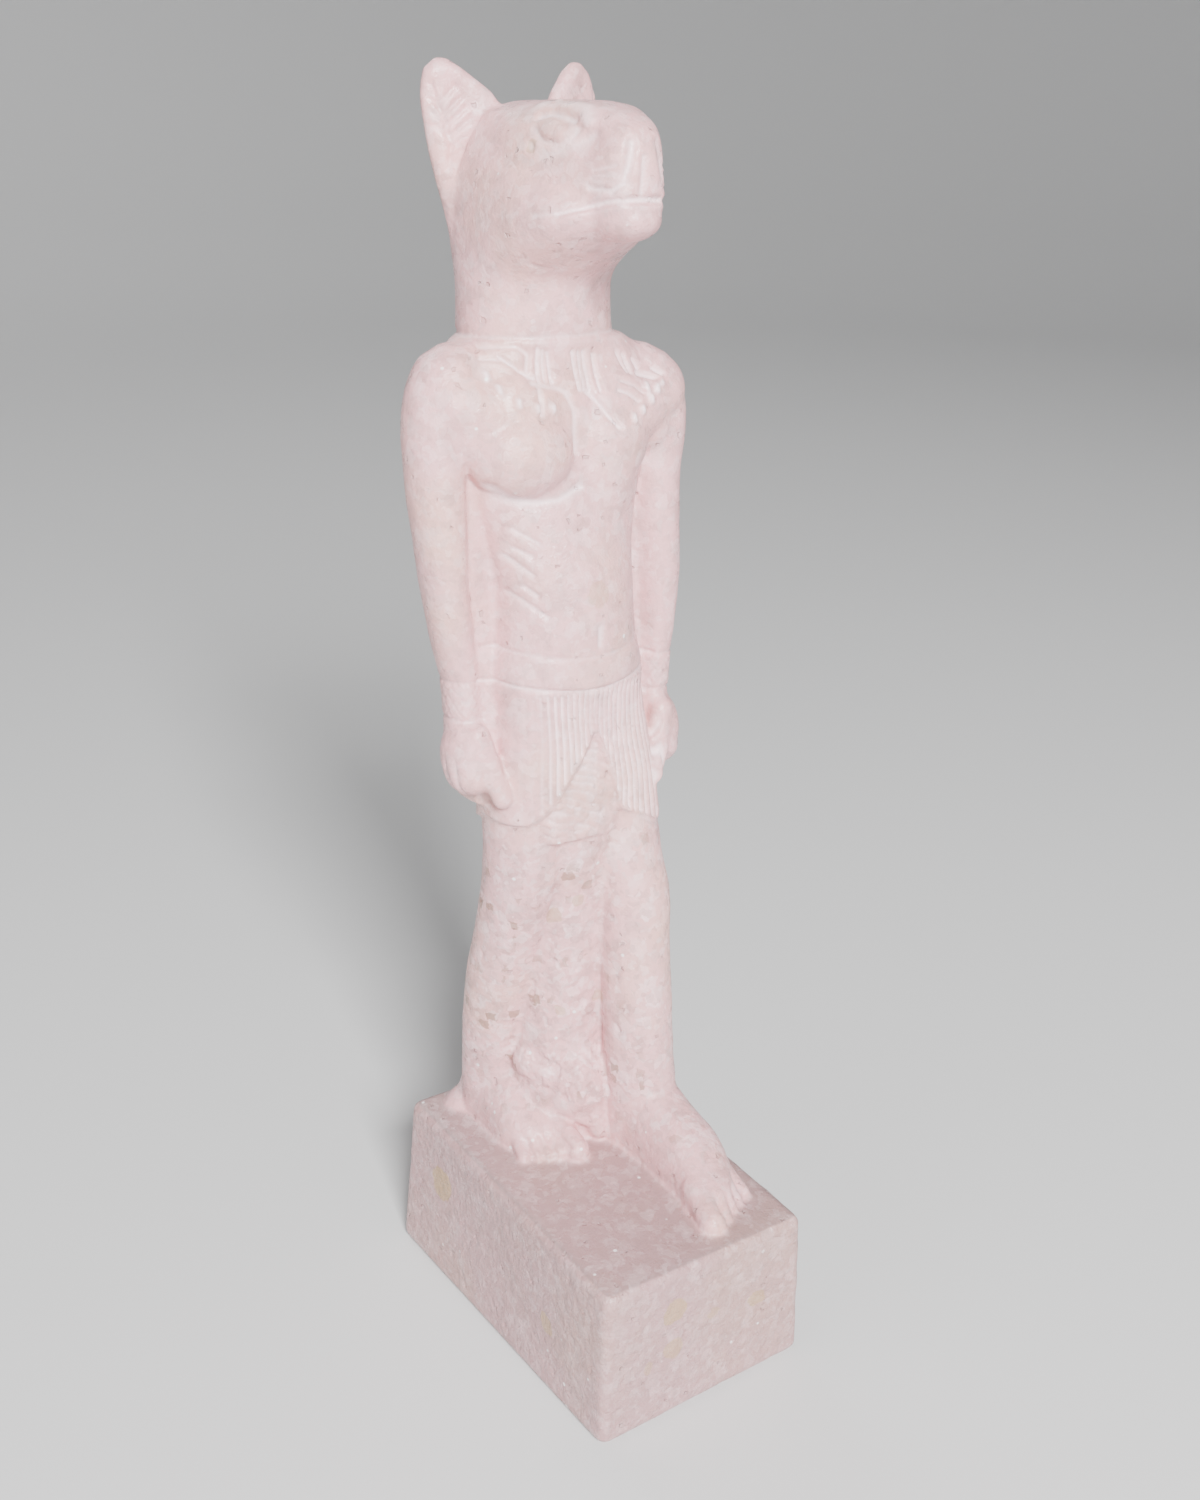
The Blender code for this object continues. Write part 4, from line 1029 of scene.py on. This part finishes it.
def add_block(stone):
    """The block, a cube with its corners moved as the hand-cut block has them."""
    block = bmesh.new()
    bmesh.ops.create_cube(block, size=1)
    for corner in block.verts:
        side = "right" if corner.co.x < 0 else "left"
        end = "front" if corner.co.y < 0 else "back"
        top, bottom = BASE_CORNERS[side, end]
        corner.co = (*top, BASE_HEIGHT) if corner.co.z > 0 else (*bottom, UNDERSIDE)
    bmesh.ops.bevel(block, geom=block.edges, offset=BASE_EDGE, segments=4, profile=0.5, affect="EDGES")
    mesh = bpy.data.meshes.new("block")
    block.to_mesh(mesh)
    block.free()
    stone.from_mesh(mesh)
    bpy.data.meshes.remove(mesh)


def carved_figure():
    """The whole stone as one piece in metres, at the size and place of the CAD solid."""
    stone = bmesh.new()
    add_trunk(stone)
    add_head(stone)
    add_arms(stone)
    add_legs(stone)
    add_block(stone)
    skin = fused(stone, CARVING_GRAIN)
    drop_hollows(skin)
    relax(skin, ROUNDING_PASSES, rounding_share)
    carve(skin)
    points = points_of(skin)
    points[:, 2] = np.maximum(points[:, 2], UNDERSIDE)
    set_points(skin, points)
    figure = bpy.data.objects.new("carved_figure", skin)
    bpy.context.scene.collection.objects.link(figure)
    skin.calc_loop_triangles()
    decimate = figure.modifiers.new("fewer_faces", "DECIMATE")
    decimate.ratio = min(1.0, STONE_TRIANGLES / len(skin.loop_triangles))
    decimate.use_collapse_triangulate = True
    graph = bpy.context.evaluated_depsgraph_get()
    finished = bpy.data.meshes.new_from_object(figure.evaluated_get(graph))
    figure.modifiers.clear()
    finished.transform(Matrix.Scale(MILLIMETRE, 4) @ Matrix.Translation((0, 0, -UNDERSIDE)))
    finished.name = "carved_figure"
    figure.data = finished
    bpy.data.meshes.remove(skin)
    finished.shade_smooth()
    return figure


# Materials. Every size in them is in millimetres of the object itself.


class Nodes:
    """A material's nodes, added and linked one after another."""

    def __init__(self, name):
        self.material = bpy.data.materials.new(name)
        self.material.use_nodes = True
        self.tree = self.material.node_tree
        self.shader = self.tree.nodes["Principled BSDF"]

    def add(self, kind, settings=None, **inputs):
        node = self.tree.nodes.new(kind)
        for name, value in (settings or {}).items():
            setattr(node, name, value)
        for name, value in inputs.items():
            self.feed(node, name.replace("_", " "), value)
        return node

    def feed(self, node, name, value):
        socket = node.inputs[int(name[1:])] if name[1:].isdigit() else node.inputs[name]
        if isinstance(value, bpy.types.NodeSocket):
            self.tree.links.new(value, socket)
        else:
            socket.default_value = value

    def maths(self, kind, first, second):
        return self.add("ShaderNodeMath", {"operation": kind}, n0=first, n1=second).outputs[0]

    def times(self, first, second):
        return self.maths("MULTIPLY", first, second)

    def plus(self, first, second):
        return self.maths("ADD", first, second)

    def step(self, value, low, high, to_low=0.0, to_high=1.0):
        """A value stretched from low..high to to_low..to_high, with a soft step between."""
        node = self.add("ShaderNodeMapRange", {"interpolation_type": "SMOOTHSTEP"}, Value=value)
        node.inputs["From Min"].default_value = low
        node.inputs["From Max"].default_value = high
        node.inputs["To Min"].default_value = to_low
        node.inputs["To Max"].default_value = to_high
        return node.outputs[0]

    def blend(self, share, first, second):
        node = self.add("ShaderNodeMix", {"data_type": "RGBA"}, n0=share, n6=first, n7=second)
        return node.outputs[2]

    def noise(self, place, size, detail=2.0, roughness=0.55):
        fineness = {"Scale": 1 / size, "Detail": detail, "Roughness": roughness}
        return self.add("ShaderNodeTexNoise", Vector=place, **fineness).outputs[0]

    def cells(self, place, size, metric="EUCLIDEAN"):
        """Random cells: the distance from each one's middle, and its own random number."""
        node = self.add("ShaderNodeTexVoronoi", {"distance": metric}, Vector=place, Scale=1 / size)
        number = self.add("ShaderNodeSeparateColor", Color=node.outputs["Color"])
        return node.outputs["Distance"], number.outputs[0], number.outputs[1]


STONE = (0.74, 0.405, 0.42, 1)
STONE_WARM = (0.74, 0.425, 0.38, 1)
# The block's greyer stone. On the top it is laid on almost fully, and there it is partly painted shade.
STONE_GREY = (0.235, 0.165, 0.163, 1)
GRAIN_DARK = (0.36, 0.225, 0.215, 1)
GRAIN_BROWN = (0.30, 0.175, 0.125, 1)
GRAIN_LIGHT = (0.92, 0.74, 0.76, 1)
# The paler colour of the chiselled strokes: partly whiter bruised stone, partly a painted highlight on the
# carving.
BRUISED_AND_HIGHLIT = (1.0, 0.80, 0.83, 1)
OCHRE = (0.45, 0.295, 0.17, 1)

# Ochre chips that show in the stone: the middle of each in millimetres, its radius and how strong it is.
CHIPS = (
    ((-20.1, 20.2, 18.3), 2.7, 0.9),
    ((-20.4, -15.8, 12.6), 1.6, 0.75),
    ((-6.3, -33.0, 20.6), 1.9, 0.75),
    ((-6.5, -33.0, 13.5), 1.7, 0.6),
    ((10.8, -33.0, 15.7), 1.4, 0.7),
    ((1.6, -33.1, 16.8), 1.0, 0.45),
    ((-11.4, -33.0, 11.7), 0.9, 0.45),
    ((0.6, 1.2, 130.3), 1.7, 0.35),
    ((-3.9, 7.0, 73.7), 1.2, 0.5),
    ((-0.5, 4.9, 76.3), 0.9, 0.5),
    ((4.4, 5.8, 56.4), 1.0, 0.45),
    ((-2.6, 7.1, 55.2), 0.9, 0.45),
    ((-9.1, 4.7, 194.9), 0.8, 0.5),
)
# The grains, the streaks on the block's sides, the brown blots, the pits and the glints, in millimetres
GRAIN_SIZES = (2.0, 0.9)
STREAK_SIZE = 1.6
STREAK_TURN = (0.6, 0.0, 0.2)
STREAK_SHAPE = (1.0, 0.4, 1.0)
BLOT_SPACING = 3.0
PIT_SPACING = 2.2
GLINT_SPACING = 2.9
GLINT_COLOUR = (0.95, 0.92, 0.92, 1)
# How far the noise bends the grains, and how far light goes into the stone, in metres
WOBBLE = 2.0
LIGHT_REACH = 0.0012
BUMP_HEIGHT = 0.00014


def stone_material():
    """Crushed pale stone bound with resin: angular grains, ochre chips, small pits, a little light inside."""
    n = Nodes("crushed_pale_stone")
    metres = n.add("ShaderNodeTexCoord").outputs["Object"]
    place = n.add("ShaderNodeVectorMath", {"operation": "SCALE"}, n0=metres, n3=1000.0).outputs[0]
    height = n.add("ShaderNodeSeparateXYZ", Vector=place).outputs[2]
    wobble = n.add("ShaderNodeTexNoise", Vector=place, Scale=0.5, Detail=2.0).outputs["Color"]
    bend = {"operation": "MULTIPLY_ADD"}
    bent = n.add("ShaderNodeVectorMath", bend, n0=wobble, n1=(WOBBLE,) * 3, n2=place).outputs[0]
    in_block = n.step(height, 28.4, 29.6, 1.0, 0.0)
    normal = n.add("ShaderNodeNewGeometry").outputs["Normal"]
    facing = n.add("ShaderNodeSeparateXYZ", Vector=normal).outputs[2]
    block_top = n.times(in_block, n.step(facing, 0.6, 0.95))
    block_side = n.times(in_block, n.step(facing, 0.6, 0.95, 1, 0))

    colour = n.blend(n.step(n.noise(place, 28, 3), 0.42, 0.66), STONE, STONE_WARM)
    # The block's top gets far more of the grey than its sides: partly its greyer, smoother stone, partly painted
    # shade for a top lit less than the front.
    colour = n.blend(n.times(block_top, 0.95), colour, STONE_GREY)
    colour = n.blend(n.times(block_side, 0.55), colour, STONE_GREY)
    colour = n.blend(n.step(n.noise(place, 4.5, 3), 0.5, 0.7, 0, 0.35), colour, GRAIN_DARK)
    in_legs = n.times(n.step(height, 32, 40), n.step(height, 94, 84))
    amount = n.plus(n.times(in_block, -0.08), n.times(in_legs, 0.1))
    amount = n.plus(amount, 0.2)
    for size in GRAIN_SIZES:
        _, own, other = n.cells(bent, size)
        dark = n.times(n.step(own, 0.6, 1.0), amount)
        colour = n.blend(dark, colour, GRAIN_DARK)
        light = n.times(n.step(other, 0.65, 1.0), amount)
        colour = n.blend(light, colour, GRAIN_LIGHT)
    streaky = n.add("ShaderNodeMapping", Vector=place, Rotation=STREAK_TURN, Scale=STREAK_SHAPE).outputs[0]
    streak = n.step(n.noise(streaky, STREAK_SIZE, 3), 0.55, 0.68)
    colour = n.blend(n.times(streak, n.times(block_side, 0.13)), colour, GRAIN_LIGHT)
    colour = n.blend(n.times(streak, n.times(block_top, 0.08)), colour, GRAIN_DARK)

    blot_far, blot_own, _ = n.cells(bent, BLOT_SPACING, "CHEBYCHEV")
    blot = n.times(n.step(blot_own, 0.45, 0.5), n.step(blot_far, 0.3, 0.24))
    spread = n.times(n.step(n.noise(place, 14, 2), 0.4, 0.6), in_legs)
    spread = n.plus(n.times(spread, 0.65), 0.08)
    colour = n.blend(n.times(blot, spread), colour, GRAIN_BROWN)

    for middle, radius, strength in CHIPS:
        centre = Vector(middle) + Vector((WOBBLE / 2,) * 3)
        away = n.add("ShaderNodeVectorMath", {"operation": "DISTANCE"}, n0=bent, n1=centre).outputs["Value"]
        colour = n.blend(n.step(away, radius * 1.25, radius * 1.1, 0, strength), colour, OCHRE)

    pit_far, pit_own, _ = n.cells(bent, PIT_SPACING, "CHEBYCHEV")
    pit = n.times(n.step(pit_own, 0.72, 0.78), n.step(pit_far, 0.16, 0.1))
    colour = n.blend(n.times(pit, 0.4), colour, GRAIN_DARK)
    # The chiselled strokes are painted paler: partly bruised stone, partly a painted highlight that shows the
    # carving whatever the light.
    bruise_and_highlight = n.add("ShaderNodeAttribute", {"attribute_name": "bruised_and_highlit"}).outputs["Fac"]
    colour = n.blend(n.times(n.maths("POWER", bruise_and_highlight, 1.6), 0.7), colour, BRUISED_AND_HIGHLIT)
    glint_far, glint_own, _ = n.cells(place, GLINT_SPACING)
    glint = n.times(n.step(glint_own, 0.86, 0.9), n.step(glint_far, 0.14, 0.08))
    colour = n.blend(n.times(glint, 0.8), colour, GLINT_COLOUR)
    n.feed(n.shader, "Base Color", colour)

    polish = n.step(n.noise(place, 2.5, 4), 0.35, 0.65, 0.24, 0.48)
    n.feed(n.shader, "Roughness", n.plus(polish, n.times(pit, 0.25)))
    fine = n.noise(place, 0.45, 4, 0.6)
    rough = n.times(n.noise(bent, 1.4, 3), n.plus(1.5, n.times(block_side, 3.0)))
    relief = n.maths("SUBTRACT", n.plus(fine, rough), n.times(pit, 4.0))
    bump = n.add("ShaderNodeBump", Height=relief, Strength=0.7, Distance=BUMP_HEIGHT)
    n.feed(n.shader, "Normal", bump.outputs[0])
    n.shader.inputs["Subsurface Weight"].default_value = 0.2
    n.shader.inputs["Subsurface Radius"].default_value = (1.0, 0.75, 0.65)
    n.shader.inputs["Subsurface Scale"].default_value = LIGHT_REACH
    n.shader.inputs["Specular IOR Level"].default_value = 0.5
    return n.material


def floor_material():
    n = Nodes("pale_floor")
    n.shader.inputs["Base Color"].default_value = (0.64, 0.64, 0.64, 1)
    n.shader.inputs["Roughness"].default_value = 0.9
    return n.material


# Floor, light and camera

FLOOR_PROFILE = ((0.0, 0.0), (1.6, 0.0), (2.0, 0.08), (2.3, 0.4), (2.45, 0.9), (2.5, 2.0))


def floor_dish():
    """A plain pale floor that curves up far away on all sides."""
    dish = bmesh.new()
    corners = [dish.verts.new((reach, 0, height)) for reach, height in FLOOR_PROFILE]
    edges = [dish.edges.new(pair) for pair in zip(corners, corners[1:])]
    bmesh.ops.spin(dish, geom=corners + edges, axis=(0, 0, 1), cent=(0, 0, 0), steps=96, angle=2 * pi)
    bmesh.ops.remove_doubles(dish, verts=dish.verts, dist=0.0001)
    bmesh.ops.recalc_face_normals(dish, faces=dish.faces)
    mesh = bpy.data.meshes.new("floor")
    dish.to_mesh(mesh)
    dish.free()
    mesh.shade_smooth()
    floor = bpy.data.objects.new("floor", mesh)
    bpy.context.scene.collection.objects.link(floor)
    mesh.materials.append(floor_material())


MIDDLE = Vector((0, 0, 0.10))


def soft_light(name, turn, height, distance, size, power, aim):
    """A square soft box, its turn counted from the front towards the figure's left, aimed at the figure."""
    data = bpy.data.lights.new(name, "AREA")
    data.size = size
    data.energy = power
    lamp = bpy.data.objects.new(name, data)
    turn, height = radians(turn), radians(height)
    away = Vector((sin(turn) * cos(height), -cos(turn) * cos(height), sin(height)))
    lamp.location = aim + away * distance
    lamp.rotation_mode = "QUATERNION"
    lamp.rotation_quaternion = away.to_track_quat("Z", "Y")
    bpy.context.scene.collection.objects.link(lamp)


# Each soft box: its name, turn and height in degrees, distance and size in metres, power in watts, and its aim
LIGHTS = (
    ("key", -20, 31, 0.9, 0.24, 25.5, MIDDLE),
    ("fill", -85, 15, 1.0, 0.7, 3.0, MIDDLE),
    ("back", 160, 45, 1.1, 0.7, 1.2, MIDDLE),
    ("backdrop", 180, 55, 1.9, 1.2, 36.0, Vector((0, 1.4, 0.0))),
)


def light_up():
    for light in LIGHTS:
        soft_light(*light)
    world = bpy.data.worlds.new("studio")
    world.use_nodes = True
    back = world.node_tree.nodes["Background"]
    back.inputs["Color"].default_value = (0.93, 0.95, 1.0, 1)
    back.inputs["Strength"].default_value = 0.15
    bpy.context.scene.world = world


CAMERA_PLACE = Vector((-133.44, -196.37, 196.12)) * MILLIMETRE
CAMERA_TURN, CAMERA_TILT, CAMERA_ROLL = 0.5979, 0.3663, 0.0105


def place_camera():
    """The camera as the photograph was taken: from the figure's front right, a little above."""
    data = bpy.data.cameras.new("camera")
    data.sensor_fit = "VERTICAL"
    data.sensor_height = 36
    data.lens = 38.4
    data.clip_start = 0.01
    ahead = Vector(
        (
            sin(CAMERA_TURN) * cos(CAMERA_TILT),
            cos(CAMERA_TURN) * cos(CAMERA_TILT),
            -sin(CAMERA_TILT),
        )
    )
    level = Vector((cos(CAMERA_TURN), -sin(CAMERA_TURN), 0))
    upright = level.cross(ahead)
    right = level * cos(CAMERA_ROLL) + upright * sin(CAMERA_ROLL)
    up = upright * cos(CAMERA_ROLL) - level * sin(CAMERA_ROLL)
    camera = bpy.data.objects.new("camera", data)
    turn = Matrix((right, up, -ahead)).transposed().to_4x4()
    camera.matrix_world = Matrix.Translation(CAMERA_PLACE) @ turn
    bpy.context.scene.collection.objects.link(camera)
    bpy.context.scene.camera = camera


figure = carved_figure()
figure.data.materials.clear()
figure.data.materials.append(stone_material())
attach(figure, "root")
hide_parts("bastet_cat_figure")
floor_dish()
light_up()
place_camera()
